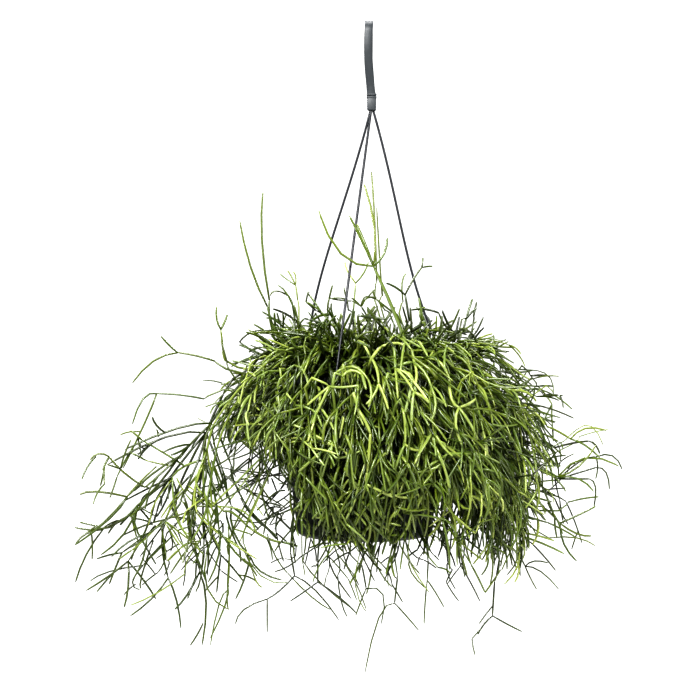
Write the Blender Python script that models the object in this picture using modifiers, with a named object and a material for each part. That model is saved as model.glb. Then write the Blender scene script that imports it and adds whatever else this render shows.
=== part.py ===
"""Hanging pot of mistletoe cactus: hook, three strands, pot, soil and nine rooted clumps of stems.

World frame: metres, +Z up, origin at the flat seat inside the top of the hook, -Y towards the viewer.
The pot and the plant are built round the pot's own axis, with height zero at the top of the pot's rim.
"""

import math
import random

import bmesh
import bpy
from mathutils import Vector

# Driving dimensions, in metres and degrees.
RIM_DROP = 0.334  # hook seat down to the top of the rim
POT_AXIS_X = -0.0043  # the pot hangs a little left of the hook, over the plant's weight

POT_HEIGHT = 0.150
POT_BASE_R = 0.064
POT_TOP_R = 0.083  # outside of the wall just under the rim
POT_WALL = 0.0018
POT_FLOOR = 0.0022
POT_CORNER_R = 0.007
INNER_CORNER = 0.0042  # height of the slope between the floor and the wall, inside
POT_SIDES = 30
HOLE_SIDES = 9
RIM_R = 0.091
RIM_THICK = 0.002
RIM_EDGE = 0.0008
LIP_DROP = 0.006
LIP_THICK = 0.0016
DRAIN_HOLES = 6
DRAIN_HOLE_R = 0.004
DRAIN_CIRCLE_R = 0.042
FOOT_RECESS = 0.0015
FOOT_WIDTH = 0.007

SOIL_DROP = 0.012  # soil surface below the rim
SEAT_GAP = 0.0003  # between pieces that touch
CUT_PAST = 0.002  # how far a cutter runs past the faces that it cuts

STRAP_WIDTH = 0.0078
STRAP_THICK = 0.0026
HOOK_SEAT_FLAT = 0.005
HOOK_INNER_HALF = 0.0095
HOOK_ARC_DROP = 0.0100
HOOK_TIP_DROP = 0.0130
HOOK_ARC_STEPS = 6
HOOK_TIP_SPREAD = 0.0004  # the tip stands this much out from the bend
STRAP_LEAN = 0.0024  # the strap's lower end lies this far to the right of the seat
STRAP_BOW = 0.0030  # and its middle this far to the left of a straight line
HOOK_LENGTH = 0.0665  # seat down to the top of the block
# Seen from its side, how the strap eases from the block to the bend: depth, and share of HOOK_LENGTH.
STRAP_EASE = ((-0.0010, 0.92), (-0.0060, 0.62), (-0.0098, 0.36))
STRAP_ROOT = 0.0048  # how far the strap runs on into the block
BLOCK_SIDE = 0.0086
BLOCK_HEIGHT = 0.0160
BLOCK_CHAMFER = 0.0010
COLLAR_SIDE = 0.0094
COLLAR_HEIGHT = 0.0044
SOCKET_DEPTH = 0.0060
SOCKET_SIDES = 16

STRAND_R = 0.0013
STRAND_BUNDLE_R = 0.00175  # strand centres from the block's own axis, inside the block
STRAND_HOLE_R = 0.0017
STRAND_CIRCLE_R = 0.0860
STRAND_AZIMUTHS = (132.0, 252.0, 12.0)
STRAND_BOWS_X = (-0.0090, 0.0, -0.0090)  # how far foliage pushes each strand sideways
STRAND_BOW_LOW = 1.7  # above 1, the bow is deepest in the strand's lower half
STRAND_STEPS = 7
STRAND_SIDES = 7
STRAND_FOOT = 0.0030  # above this height a strand leans, and below it stands upright in its hole
KNOB_R = 0.0024
KNOB_HEIGHT = 0.0025
KNOB_SHAPE = ((0.15, 1.0), (0.8, 1.0), (1.0, 0.7))  # share of its height going down, and of its radius

CLUMPS = 9
CLUMP_ANGLE = 360.0 / CLUMPS
FIRST_CLUMP_AZIMUTH = STRAND_AZIMUTHS[2] + CLUMP_ANGLE / 2  # strands run in the partings between clumps
PARTING = 0.0005  # from a clump's core to its side plane
ROOT_R = 0.008
ROOT_CIRCLE_R = 0.045
ROOT_DEPTH = 0.020
ROOT_TOP_DROP = 0.004
ROOT_SIDES = 9

STEM_R = 0.0022  # corner radius of a three-sided stem
STEM_SIDES = 3
JOINT_R = 0.0007  # a twig is narrow where it leaves its stem
TIP_R = 0.0017
STEM_SPACING = 0.0042  # between the centre lines of stems that only pass each other
STEM_CLEAR = 0.0030  # a stem's centre line from anything of another piece
WALL_CLEAR = 0.0045  # and from the pot's wall, which is cut in flat sides
RIM_CLEAR = 0.0040  # and its height over the rim
RIM_BAND = 0.015  # a stem no lower than this is lifted over the rim, and a lower one moved out past the wall
FREE_HEIGHT = 0.080  # tall shoots above this height may lean over the next clump

# The mound's outline in eight directions 45 degrees apart, anticlockwise from the right-hand side.
REACH = (0.182, 0.168, 0.152, 0.140, 0.136, 0.142, 0.150, 0.172)
FRINGE_DROP = (0.186, 0.180, 0.176, 0.140, 0.098, 0.150, 0.184, 0.192)
MOUND_TOP = 0.068
WIDEST_DROP = 0.050  # where the mound is widest, below the rim
SHOULDER_SHARE = 0.50  # share of the outline from the crown to its widest place
DOME_WIDTH_POWER = 0.9  # below 1, the dome is wider than an ellipse
DOME_HEIGHT_POWER = 0.75
FRINGE_DRAW_IN = 0.16  # the fringe's edge hangs this share nearer to the axis

# The matted middle of a clump, which its stems stand out of.
CORE_WIDTH = 0.79  # share of the outline's radius
CORE_FLATNESS = 0.66  # share of the outline's height
CORE_INNER_R = 0.0955  # its skirt hangs this far out from the axis, clear of the rim
CORE_TOP_R = 0.012  # the cores leave a narrow well open round the axis
CORE_SHELF_R = 0.0762  # out to here it rests on the soil, inside the pot's wall
CORE_STEP_OUT = 0.0010  # over the rise from the soil up to the rim
CORE_BROW = 0.0022  # it rests on the rim out to this far past the rim's edge
CORE_UNDERCUT = 0.0015
CORE_HEM = 0.90  # the inner edge of the skirt, as a share of its depth
CORE_MIDDLE_R = 0.100
CORE_MIDDLE_DROP = 0.030
CORE_STEPS = 5
CORE_HOLLOWS = 0.008  # the matted surface dips in by up to this much
CORE_DOME_SHARES = (0.09, 0.20, 0.31, 0.41)
CORE_SKIRT_SHARES = (0.50, 0.64, 0.78, 0.90)
CHANNEL_CLEAR = 0.0014  # round a strand where it runs down between two cores
CHANNEL_TOP = 0.090
CHANNEL_STEP = 0.0115
CHANNEL_STEPS = 8

# Where a clump's sprays end: share of the outline, and how many end there.
SPRAY_ROWS = (
    (0.08, 1), (0.20, 2), (0.32, 2), (0.43, 3), (0.54, 4), (0.66, 3), (0.79, 2), (0.93, 2),
)
ROW_WIDTH = 0.85  # share of the clump's angle that a row is spread over
TRIES = 14
SAMPLE_STEP = 0.004
STEM_SHARES = (0.09, 0.22)  # share of the outline that a stem runs along, from its knee to its end
END_TURN = 7.0  # degrees that a stem's end may stray to either side of its place in the row
END_SHARE = 0.04  # and the share of the outline that it may stray up or down
END_DEPTHS = (0.86, 1.0)  # share of the outline's radius
KNEE_TURN = 9.0
KNEE_DEPTHS = (0.87, 0.94)
HIGHEST_KNEE = 0.03
ROOT_TURN = 5.0
ROOT_RISE = 0.04  # a stem leaves the core this share above its knee
HIGHEST_ROOT = 0.02
STEM_SINK = 0.017
TWIGS = 3
TWIG_LENGTHS = (0.026, 0.042)
TWIG_SPREADS = (24, 52)
TWIG_TURN = 0.25  # share of the angle between two twigs that one may stray
TWIG_SAGS = (0.05, 0.40)  # share of its length that a twig's tip droops
WHORL_DEPTH = 0.6  # a whorl's spread away from the mound, to its spread along the mound

# Where a shoot that is placed by itself grows from, inside the core.
SHOOT_ROOT_R = 0.088
SHOOT_ROOT_SHARE = 0.85
SHOOT_ROOT_HEIGHT = 0.009
SHOOT_ROOT_RISE = 0.020
SHOOT_LOWEST = 0.7

# Where the plant is seen from, in the pot's frame, and the middle that its shoots are placed from.
VIEW_DISTANCE = 1.304
VIEW_X = -0.0133
VIEW_Z = 0.0266
PLANT_MIDDLE_X = -0.0024


def at(right, up, forward):
    """A point by how it is seen: right of the plant's middle, above the rim and forward of the axis, in mm."""
    nearer = 1 - forward / 1000 / VIEW_DISTANCE
    x = VIEW_X + (right / 1000 - VIEW_X) * nearer
    z = VIEW_Z + (up / 1000 - VIEW_Z) * nearer
    return Vector((x + PLANT_MIDDLE_X, -forward / 1000, z))


def shoot(points, *twigs):
    """A stem's points and the twigs that leave its end, each a shoot itself."""
    return points, twigs


# Shoots placed one by one. The first point is near the core, and the last twigs end in free tips.
SHOOTS = (
    # tall pair on the left shoulder
    shoot([at(-84, 38, 22), at(-88, 72, 22), at(-95, 128, 22), at(-94, 174, 24)]),
    shoot([at(-80, 36, 30), at(-90, 66, 31), at(-106, 104, 33), at(-116, 147, 34)]),
    # the thick stem with a fan of five twigs, in front of the strands
    shoot([at(44, 20, 62), at(34, 52, 62), at(11, 104, 58)],
          shoot([at(-20, 116, 62), at(-41, 157, 66)]), shoot([at(0, 128, 60), at(-12, 152, 62)]),
          shoot([at(3, 125, 55), at(-5, 144, 50)]), shoot([at(12, 140, 56), at(2, 182, 52)]),
          shoot([at(21, 116, 56), at(24, 131, 54)])),
    # dark forked shoots right of the middle
    shoot([at(52, 30, 34), at(58, 56, 30), at(54, 82, 26)],
          shoot([at(40, 90, 24), at(27, 92, 26)]), shoot([at(60, 98, 22), at(56, 110, 20)]),
          shoot([at(66, 96, 28), at(74, 112, 30)])),
    # right shoulder
    shoot([at(92, 30, 20), at(102, 48, 20), at(106, 66, 18)],
          shoot([at(100, 74, 16), at(98, 84, 14)]), shoot([at(112, 74, 22), at(118, 78, 24)])),
    # left shoulder
    shoot([at(-118, 8, 26), at(-132, 24, 28), at(-134, 44, 28)],
          shoot([at(-138, 54, 30), at(-138, 66, 32)]), shoot([at(-130, 52, 24), at(-128, 58, 22)])),
    # back of the crown, whose pale tips show over it
    shoot([at(-6, 30, -40), at(-8, 62, -42), at(-6, 88, -44)],
          shoot([at(-14, 100, -50), at(-16, 108, -52)]), shoot([at(2, 98, -40), at(6, 108, -38)])),
    # two long twigs that fork away to the left, high up
    shoot([at(-112, 2, 34), at(-140, 14, 36), at(-175, 22, 38)],
          shoot([at(-184, 30, 40), at(-191, 38, 42)]), shoot([at(-198, 14, 38), at(-218, -7, 36)])),
    shoot([at(-112, -16, 44), at(-150, -22, 48), at(-195, -17, 52)],
          shoot([at(-208, -22, 56), at(-218, -46, 60)]), shoot([at(-206, -44, 50), at(-227, -88, 46)])),
    # the wing: a main stem, its whorl, and the whorls that hang from that one
    shoot([at(-108, 6, 28), at(-132, -18, 34), at(-148, -54, 40)],
          shoot([at(-186, -58, 46), at(-241, -84, 52)]),
          shoot([at(-176, -88, 44), at(-196, -118, 48)],
                shoot([at(-220, -132, 50), at(-246, -146, 54)],
                      shoot([at(-262, -150, 58), at(-272, -160, 62)]),
                      shoot([at(-262, -170, 52), at(-272, -196, 50)])),
                shoot([at(-206, -148, 46), at(-222, -176, 44)],
                      shoot([at(-240, -190, 40), at(-262, -204, 38)]),
                      shoot([at(-222, -200, 50), at(-226, -220, 54)]),
                      shoot([at(-206, -196, 42), at(-196, -212, 40)]))),
          shoot([at(-168, -92, 36), at(-186, -136, 34)],
                shoot([at(-190, -160, 34), at(-184, -192, 36)],
                      shoot([at(-200, -212, 40), at(-220, -228, 44)]),
                      shoot([at(-176, -214, 34), at(-172, -240, 32)])),
                shoot([at(-206, -152, 30), at(-228, -168, 26)],
                      shoot([at(-252, -174, 22)]), shoot([at(-240, -198, 30)]))),
          shoot([at(-152, -90, 30), at(-158, -128, 28)],
                shoot([at(-160, -150, 28), at(-154, -186, 30)],
                      shoot([at(-166, -208, 34), at(-178, -222, 38)]),
                      shoot([at(-148, -216, 30), at(-152, -256, 28)])),
                shoot([at(-146, -146, 24), at(-134, -170, 22)],
                      shoot([at(-112, -196, 22)]), shoot([at(-138, -206, 16)]))),
          shoot([at(-136, -86, 46), at(-124, -124, 50)],
                shoot([at(-122, -148, 52), at(-106, -172, 56)],
                      shoot([at(-96, -186, 58), at(-76, -194, 60)]),
                      shoot([at(-112, -194, 54), at(-120, -212, 52)])),
                shoot([at(-98, -146, 42)])),
          shoot([at(-156, -82, 56), at(-170, -112, 62)],
                shoot([at(-180, -132, 66), at(-204, -150, 72)],
                      shoot([at(-222, -158, 76), at(-238, -172, 80)]),
                      shoot([at(-208, -174, 72), at(-218, -194, 72)])),
                shoot([at(-164, -134, 62), at(-162, -160, 64)],
                      shoot([at(-182, -188, 64)]), shoot([at(-148, -196, 60)])))),
    # long forked twigs that hang below the pot
    shoot([at(-66, -140, 62), at(-68, -168, 64), at(-64, -190, 66)],
          shoot([at(-78, -204, 68), at(-90, -212, 70)],
                shoot([at(-112, -222, 72), at(-120, -236, 72)]), shoot([at(-90, -244, 70)])),
          shoot([at(-44, -204, 66), at(-22, -232, 66)])),
    shoot([at(-40, -150, 92), at(-42, -176, 90), at(-42, -196, 88)],
          shoot([at(-56, -206, 88), at(-68, -214, 88)]), shoot([at(-22, -210, 86), at(-5, -226, 86)])),
    shoot([at(-17, -150, 90), at(0, -180, 88), at(4, -202, 86)],
          shoot([at(-6, -228, 86)]), shoot([at(20, -208, 86), at(18, -236, 86)])),
    shoot([at(30, -150, 88), at(34, -190, 86), at(31, -216, 84)],
          shoot([at(16, -230, 84), at(3, -282, 82)]), shoot([at(42, -228, 84), at(54, -242, 84)])),
    shoot([at(62, -150, 76), at(63, -176, 74), at(62, -194, 72)],
          shoot([at(60, -216, 72), at(59, -236, 72)]), shoot([at(70, -206, 70), at(78, -220, 68)])),
    shoot([at(128, -150, 56), at(126, -196, 54), at(124, -228, 52)],
          shoot([at(116, -236, 52), at(110, -246, 52)]), shoot([at(138, -236, 52), at(152, -243, 52)])),
    # right side: whorls that reach out and hang over
    shoot([at(150, -70, 34), at(168, -88, 32), at(186, -96, 30)],
          shoot([at(206, -86, 30), at(222, -66, 30)]), shoot([at(212, -78, 26), at(244, -86, 24)]),
          shoot([at(206, -98, 34), at(220, -110, 38)])),
    shoot([at(150, -40, 30), at(176, -48, 26), at(198, -60, 22)],
          shoot([at(212, -50, 20), at(232, -52, 18)]), shoot([at(212, -66, 24), at(226, -78, 26)])),
    shoot([at(150, -110, 40), at(174, -126, 38), at(188, -140, 36)],
          shoot([at(206, -132, 36), at(222, -124, 36)]), shoot([at(204, -150, 34), at(218, -152, 32)]),
          shoot([at(192, -160, 40), at(204, -176, 44)])),
)

POT_BLACK = (0.018, 0.023, 0.021)
SOIL_BROWN = (0.045, 0.028, 0.017)
HANGER_GREY = (0.060, 0.070, 0.080)
LEAF_GREENS = ((0.130, 0.240, 0.030), (0.105, 0.200, 0.025), (0.150, 0.270, 0.040))


def polar(radius, azimuth, height):
    """A point by radius, azimuth in degrees round the pot's axis, and height above the rim."""
    turn = math.radians(azimuth)
    return Vector((radius * math.cos(turn), radius * math.sin(turn), height))


def azimuth_of(point):
    """A point's azimuth in degrees round the pot's axis."""
    return math.degrees(math.atan2(point.y, point.x))


def clump_middle(clump):
    """The azimuth of a clump's middle, in degrees."""
    return FIRST_CLUMP_AZIMUTH + CLUMP_ANGLE * clump


def wall_radius(height):
    """Outside radius of the pot's wall at a height below the rim."""
    share = min(max(-height / POT_HEIGHT, 0.0), 1.0)
    return POT_TOP_R + (POT_BASE_R - POT_TOP_R) * share


def around(values, azimuth):
    """A value that is stated for eight directions, eased between them."""
    place = (azimuth % 360.0) / 45.0
    first = int(place) % 8
    share = place - int(place)
    ease = share * share * (3 - 2 * share)
    return values[first] * (1 - ease) + values[(first + 1) % 8] * ease


def outline(azimuth, share):
    """Radius and height of the mound's outside, from its crown at share 0 to its lower fringe at share 1."""
    reach = around(REACH, azimuth)
    if share < SHOULDER_SHARE:
        turn = math.radians(90 * max(share, 0.0) / SHOULDER_SHARE)
        rise = (MOUND_TOP + WIDEST_DROP) * math.cos(turn) ** DOME_HEIGHT_POWER
        return reach * math.sin(turn) ** DOME_WIDTH_POWER, rise - WIDEST_DROP
    fall = (share - SHOULDER_SHARE) / (1 - SHOULDER_SHARE)
    drop = around(FRINGE_DROP, azimuth) - WIDEST_DROP
    return reach * (1 - FRINGE_DRAW_IN * fall * fall), -WIDEST_DROP - drop * fall


def core_point(azimuth, share):
    """A place on the outside of a clump's core, from the crown at share 0 to its lower edge at share 1."""
    radius, height = outline(azimuth, share)
    if share < SHOULDER_SHARE:
        return polar(CORE_WIDTH * radius, azimuth, CORE_FLATNESS * height)
    turn = math.radians(90 * (share - SHOULDER_SHARE) / (1 - SHOULDER_SHARE))
    widest = CORE_WIDTH * around(REACH, azimuth)
    skirt = CORE_FLATNESS * (around(FRINGE_DROP, azimuth) - WIDEST_DROP)
    radius = CORE_INNER_R + (widest - CORE_INNER_R) * math.cos(turn)
    return polar(radius, azimuth, -CORE_FLATNESS * WIDEST_DROP - skirt * math.sin(turn))


def strand_centre(index, height):
    """Where a strand's centre line is at a height above the rim."""
    block_bottom = RIM_DROP - HOOK_LENGTH - BLOCK_HEIGHT
    axis = Vector((STRAP_LEAN - POT_AXIS_X, 0, 0))
    top = axis + polar(STRAND_BUNDLE_R, STRAND_AZIMUTHS[index], 0)
    foot = polar(STRAND_CIRCLE_R, STRAND_AZIMUTHS[index], 0)
    share = min(max((block_bottom - height) / block_bottom, 0.0), 1.0)
    point = top.lerp(foot, share)
    point.x += STRAND_BOWS_X[index] * math.sin(math.pi * share ** STRAND_BOW_LOW)
    point.z = height
    return point


def clear_of_pot(point):
    """The point moved out of the pot, of its rim and of the space under its base."""
    radius = math.hypot(point.x, point.y)
    wall = (RIM_R if point.z > -LIP_DROP - STEM_CLEAR else wall_radius(point.z)) + WALL_CLEAR
    if radius >= wall or point.z >= RIM_CLEAR:
        return point
    if point.z > -RIM_BAND:
        return Vector((point.x, point.y, RIM_CLEAR))
    return polar(wall, azimuth_of(point), point.z)


def clear_of_strands(point):
    """The point pushed sideways from any strand that it would touch."""
    least = STRAND_R + STEM_CLEAR
    for index in range(len(STRAND_AZIMUTHS)):
        away = point - strand_centre(index, point.z)
        if away.length < least and point.z < RIM_DROP - HOOK_LENGTH:
            point = point + away.normalized() * (least - away.length)
    return point


def within_clump(point, clump):
    """The point kept between the clump's two side planes, unless it is on a tall shoot above the mound."""
    if point.z > FREE_HEIGHT:
        return point
    middle = clump_middle(clump)
    radius = max(math.hypot(point.x, point.y), CORE_TOP_R)
    turn = (azimuth_of(point) - middle + 180) % 360 - 180
    most = CLUMP_ANGLE / 2 - math.degrees(math.asin(STEM_CLEAR / radius))
    if abs(turn) <= most:
        return point
    return polar(radius, middle + math.copysign(most, turn), point.z)


def bent_clear(point, clump):
    """The point bent clear of the pot, the strands and the clumps on both sides."""
    for _ in range(2):
        point = within_clump(clear_of_strands(clear_of_pot(point)), clump)
    return point


def inside_core(point):
    """Whether a point lies in a core or just on it."""
    azimuth = azimuth_of(point)
    radius = math.hypot(point.x, point.y)
    reach = CORE_WIDTH * around(REACH, azimuth) + STEM_R
    waist = CORE_FLATNESS * WIDEST_DROP
    if point.z > -waist:
        rise = (point.z / CORE_FLATNESS + WIDEST_DROP) / (MOUND_TOP + WIDEST_DROP)
        return (radius / reach) ** (2 / DOME_WIDTH_POWER) + rise ** (2 / DOME_HEIGHT_POWER) < 1
    fall = (-point.z - waist) / (CORE_FLATNESS * around(FRINGE_DROP, azimuth) - waist)
    bulge = (reach - CORE_INNER_R) * math.sqrt(max(1 - fall * fall, 0.0))
    return fall < 1 and CORE_INNER_R < radius < CORE_INNER_R + bulge


def samples(line):
    """Points close together along a stem's centre line."""
    found = [line[0]]
    for a, b in zip(line, line[1:]):
        count = max(math.ceil((b - a).length / SAMPLE_STEP), 1)
        found += [a.lerp(b, (i + 1) / count) for i in range(count)]
    return found


def cell(point):
    """The cell of a coarse grid that holds a point."""
    return tuple(math.floor(value / STEM_SPACING) for value in point)


def crowded(point, taken):
    """Whether a point lies closer than the spacing to a stem that has grown already."""
    x, y, z = cell(point)
    near = ((x + i, y + j, z + k) for i in (-1, 0, 1) for j in (-1, 0, 1) for k in (-1, 0, 1))
    return any((other - point).length < STEM_SPACING for key in near for other in taken.get(key, ()))


def fits(line, clump, taken, skipped):
    """Whether a stem is clear of all that it isn't part of, past a skipped length at its root."""
    for point in samples(line):
        if (bent_clear(point, clump) - point).length > 1e-4:
            return False
        if (point - line[0]).length > skipped and (inside_core(point) or crowded(point, taken)):
            return False
    return True


def settle(line, taken):
    """Marks a stem's place as taken."""
    for point in samples(line):
        taken.setdefault(cell(point), []).append(point)


def mound_point(azimuth, share, depth):
    """A point on the mound's outside, or a little inside it at a depth below 1."""
    radius, height = outline(azimuth, share)
    return polar(radius * depth, azimuth, height * depth if height > 0 else height)


def sunk(surface):
    """A stem's rooted end, deep enough in the core under a place on its surface."""
    azimuth = azimuth_of(surface)
    radius = math.hypot(surface.x, surface.y)
    heart = polar(0.8 * radius, azimuth, SHOOT_ROOT_HEIGHT)
    if surface.z <= 0:
        heart = polar(CORE_MIDDLE_R, azimuth, -CORE_MIDDLE_DROP)
    inward = heart - surface
    return surface + inward.normalized() * min(STEM_SINK, inward.length)


def arching_stem(rng, clump, azimuth, share, taken):
    """Points along a stem that leaves the core, arches over and ends at the mound's outside, or None."""
    for _ in range(TRIES):
        turn = azimuth + rng.uniform(-END_TURN, END_TURN)
        place = share + rng.uniform(-END_SHARE, END_SHARE)
        bend = max(place - rng.uniform(*STEM_SHARES), HIGHEST_KNEE)
        knee_turn = turn + rng.uniform(-KNEE_TURN, KNEE_TURN)
        knee = mound_point(knee_turn, bend, rng.uniform(*KNEE_DEPTHS))
        root_turn = knee_turn + rng.uniform(-ROOT_TURN, ROOT_TURN)
        surface = core_point(root_turn, max(bend - ROOT_RISE, HIGHEST_ROOT))
        end = mound_point(turn, place, rng.uniform(*END_DEPTHS))
        line = [sunk(surface), knee, end]
        if fits(line, clump, taken, STEM_SINK + (knee - surface).length * 0.5):
            return line
    return None


def whorl(rng, clump, stem, taken):
    """Tips of the twigs that leave a stem's end in a whorl, each drooping a little."""
    end = stem[-1]
    ahead = (end - stem[-2]).normalized()
    side = ahead.cross(polar(1, azimuth_of(end), 0.5)).normalized()
    across = WHORL_DEPTH * ahead.cross(side).normalized()
    first = rng.uniform(0, 2 * math.pi)
    tips = []
    for i in range(TWIGS):
        for _ in range(TRIES):
            spread = math.radians(rng.uniform(*TWIG_SPREADS))
            turn = first + 2 * math.pi * (i + rng.uniform(-TWIG_TURN, TWIG_TURN)) / TWIGS
            sideways = side * math.cos(turn) + across * math.sin(turn)
            way = (ahead * math.cos(spread) + sideways * math.sin(spread)).normalized()
            length = rng.uniform(*TWIG_LENGTHS)
            tip = end + way * length + Vector((0, 0, -length * rng.uniform(*TWIG_SAGS)))
            if fits([end, tip], clump, taken, 3 * STEM_SPACING):
                tips.append(tip)
                settle([end, tip], taken)
                break
    return tips


def tapered(line, joint):
    """Points and radii of a stem: narrow at the joint that it leaves, if it leaves one, and at its tip."""
    start = JOINT_R if joint else STEM_R
    return line, [start] + [STEM_R] * (len(line) - 2) + [TIP_R]


def spray(stem, tips):
    """A stem that runs on into its first twig, and the other twigs, as points and radii."""
    grown = [tapered(stem + tips[:1], False)]
    for tip in tips[1:]:
        grown.append(tapered([stem[-1], tip], True))
    return grown


def sprays(clump, taken):
    """A clump's stems and twigs, which a seeded rule grows in rows from the crown down to the fringe."""
    rng = random.Random(100 + clump)
    grown = []
    for share, count in SPRAY_ROWS:
        for i in range(count):
            azimuth = clump_middle(clump) + CLUMP_ANGLE * ((i + 0.5) / count - 0.5) * ROW_WIDTH
            stem = arching_stem(rng, clump, azimuth, share, taken)
            if stem:
                settle(stem, taken)
                grown += spray(stem, whorl(rng, clump, stem, taken))
    return grown


def core_root(point):
    """A place inside the core that a shoot through the point can grow from."""
    azimuth = azimuth_of(point)
    radius = math.hypot(point.x, point.y)
    if point.z > 0:
        return polar(min(SHOOT_ROOT_SHARE * radius, SHOOT_ROOT_R), azimuth, SHOOT_ROOT_HEIGHT)
    lowest = -SHOOT_LOWEST * CORE_FLATNESS * around(FRINGE_DROP, azimuth)
    highest = -CORE_FLATNESS * WIDEST_DROP
    return polar(CORE_MIDDLE_R, azimuth, min(max(point.z + SHOOT_ROOT_RISE, lowest), highest))


def grown_shoot(clump, line, twigs, joint):
    """A placed shoot with all that grows from its end, as points and radii, bent clear of its neighbours."""
    line = [bent_clear(p, clump) for p in line]
    first = [bent_clear(p, clump) for p in twigs[0][0]] if twigs else []
    grown = [tapered(line + first, joint)]
    for points, later in twigs[:1]:
        for further in later:
            grown += grown_shoot(clump, [first[-1], *further[0]], further[1], True)
    for points, later in twigs[1:]:
        grown += grown_shoot(clump, [line[-1], *points], later, True)
    return grown


def placed_shoots(clump, taken):
    """The clump's own share of the shoots that are placed one by one."""
    grown = []
    for points, twigs in SHOOTS:
        sector = (azimuth_of(points[0]) - FIRST_CLUMP_AZIMUTH + CLUMP_ANGLE / 2) % 360
        if int(sector // CLUMP_ANGLE) == clump:
            grown += grown_shoot(clump, [core_root(points[0]), *points], twigs, False)
    for line, _ in grown:
        settle(line, taken)
    return grown


def new_collection(name):
    """A new collection in the scene."""
    collection = bpy.data.collections.new(name)
    bpy.context.scene.collection.children.link(collection)
    return collection


def add_object(name, data, collection, parent=None):
    """A named object of the given mesh or curve."""
    made = bpy.data.objects.new(name, data)
    collection.objects.link(made)
    made.parent = parent
    return made


def plain_material(name, colour, roughness, metallic=0.0):
    """A material with the piece's own colour."""
    material = bpy.data.materials.new(name)
    material.use_nodes = True
    shader = material.node_tree.nodes["Principled BSDF"]
    shader.inputs["Base Color"].default_value = (*colour, 1)
    shader.inputs["Roughness"].default_value = roughness
    shader.inputs["Metallic"].default_value = metallic
    material.diffuse_color = (*colour, 1)
    return material


def closed_mesh(evaluated):
    """A closed mesh with an evaluated object's shape, its caps welded on."""
    mesh = bpy.data.meshes.new_from_object(evaluated)
    bm = bmesh.new()
    bm.from_mesh(mesh)
    bmesh.ops.remove_doubles(bm, verts=bm.verts, dist=1e-5)
    bmesh.ops.recalc_face_normals(bm, faces=bm.faces)
    bm.to_mesh(mesh)
    bm.free()
    return mesh


def all_applied(objects):
    """The objects as they are once their curves and modifiers are worked out."""
    bpy.context.view_layer.update()
    worked_out = bpy.context.evaluated_depsgraph_get()
    return [made.evaluated_get(worked_out) for made in objects]


def section_curve(name, corners, collection):
    """A ring of corners at unit radius, the cross-section that stems and strands are swept with."""
    curve = bpy.data.curves.new(name, "CURVE")
    curve.dimensions = "2D"
    spline = curve.splines.new("POLY")
    spline.points.add(corners - 1)
    for i, point in enumerate(spline.points):
        turn = 2 * math.pi * i / corners
        point.co = (math.cos(turn), math.sin(turn), 0, 1)
    spline.use_cyclic_u = True
    section = add_object(name, curve, collection)
    section.hide_render = True
    section.display_type = "WIRE"
    return section


def add_tubes(name, lines, section, collection, parent):
    """Closed tubes of the given cross-section, one along each line of points and radii."""
    curves = []
    for line, radii in lines:
        curve = bpy.data.curves.new(name, "CURVE")
        curve.dimensions = "3D"
        curve.bevel_mode = "OBJECT"
        curve.bevel_object = section
        curve.use_fill_caps = True
        spline = curve.splines.new("POLY")
        spline.points.add(len(line) - 1)
        for point, place, radius in zip(spline.points, line, radii):
            point.co = (*place, 1)
            point.radius = radius
        curves.append(add_object(name, curve, collection))
    meshes = [closed_mesh(evaluated) for evaluated in all_applied(curves)]
    for curve in curves:
        bpy.data.objects.remove(curve)
    return [add_object(name, mesh, collection, parent) for mesh in meshes]


def turned_mesh(name, profile, sides, collection):
    """A turned shape's object: a profile in the XZ plane with a live Screw modifier."""
    mesh = bpy.data.meshes.new(name)
    bm = bmesh.new()
    verts = [bm.verts.new((radius, 0, height)) for radius, height in profile]
    for a, b in zip(verts, verts[1:]):
        bm.edges.new((a, b))
    bm.to_mesh(mesh)
    bm.free()
    turned = add_object(name, mesh, collection)
    screw = turned.modifiers.new("turned", "SCREW")
    screw.steps = sides
    screw.render_steps = sides
    screw.use_merge_vertices = True
    screw.merge_threshold = 0.0001
    return turned


def add_cylinder(name, radius, low, high, place, sides, collection, parent=None):
    """An upright cylinder between two heights, at a place in the plane."""
    mesh = bpy.data.meshes.new(name)
    bm = bmesh.new()
    bmesh.ops.create_cone(bm, cap_ends=True, segments=sides, radius1=radius, radius2=radius, depth=high - low)
    bm.to_mesh(mesh)
    bm.free()
    cylinder = add_object(name, mesh, collection, parent)
    cylinder.location = (place.x, place.y, (low + high) / 2)
    return cylinder


def add_cutters(name, radius, low, high, places, sides, parent):
    """A collection of upright cylinders that cut holes."""
    collection = new_collection(name)
    for place in places:
        cutter = add_cylinder(name, radius, low, high, place, sides, collection, parent)
        cutter.hide_render = True
        cutter.display_type = "WIRE"
    return collection


def add_boolean(made, operation, collection, solver="EXACT"):
    """A Boolean modifier that cuts the object with a collection, or joins the collection to it."""
    modifier = made.modifiers.new(operation.lower(), "BOOLEAN")
    modifier.operation = operation
    modifier.operand_type = "COLLECTION"
    modifier.collection = collection
    modifier.solver = solver


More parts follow.
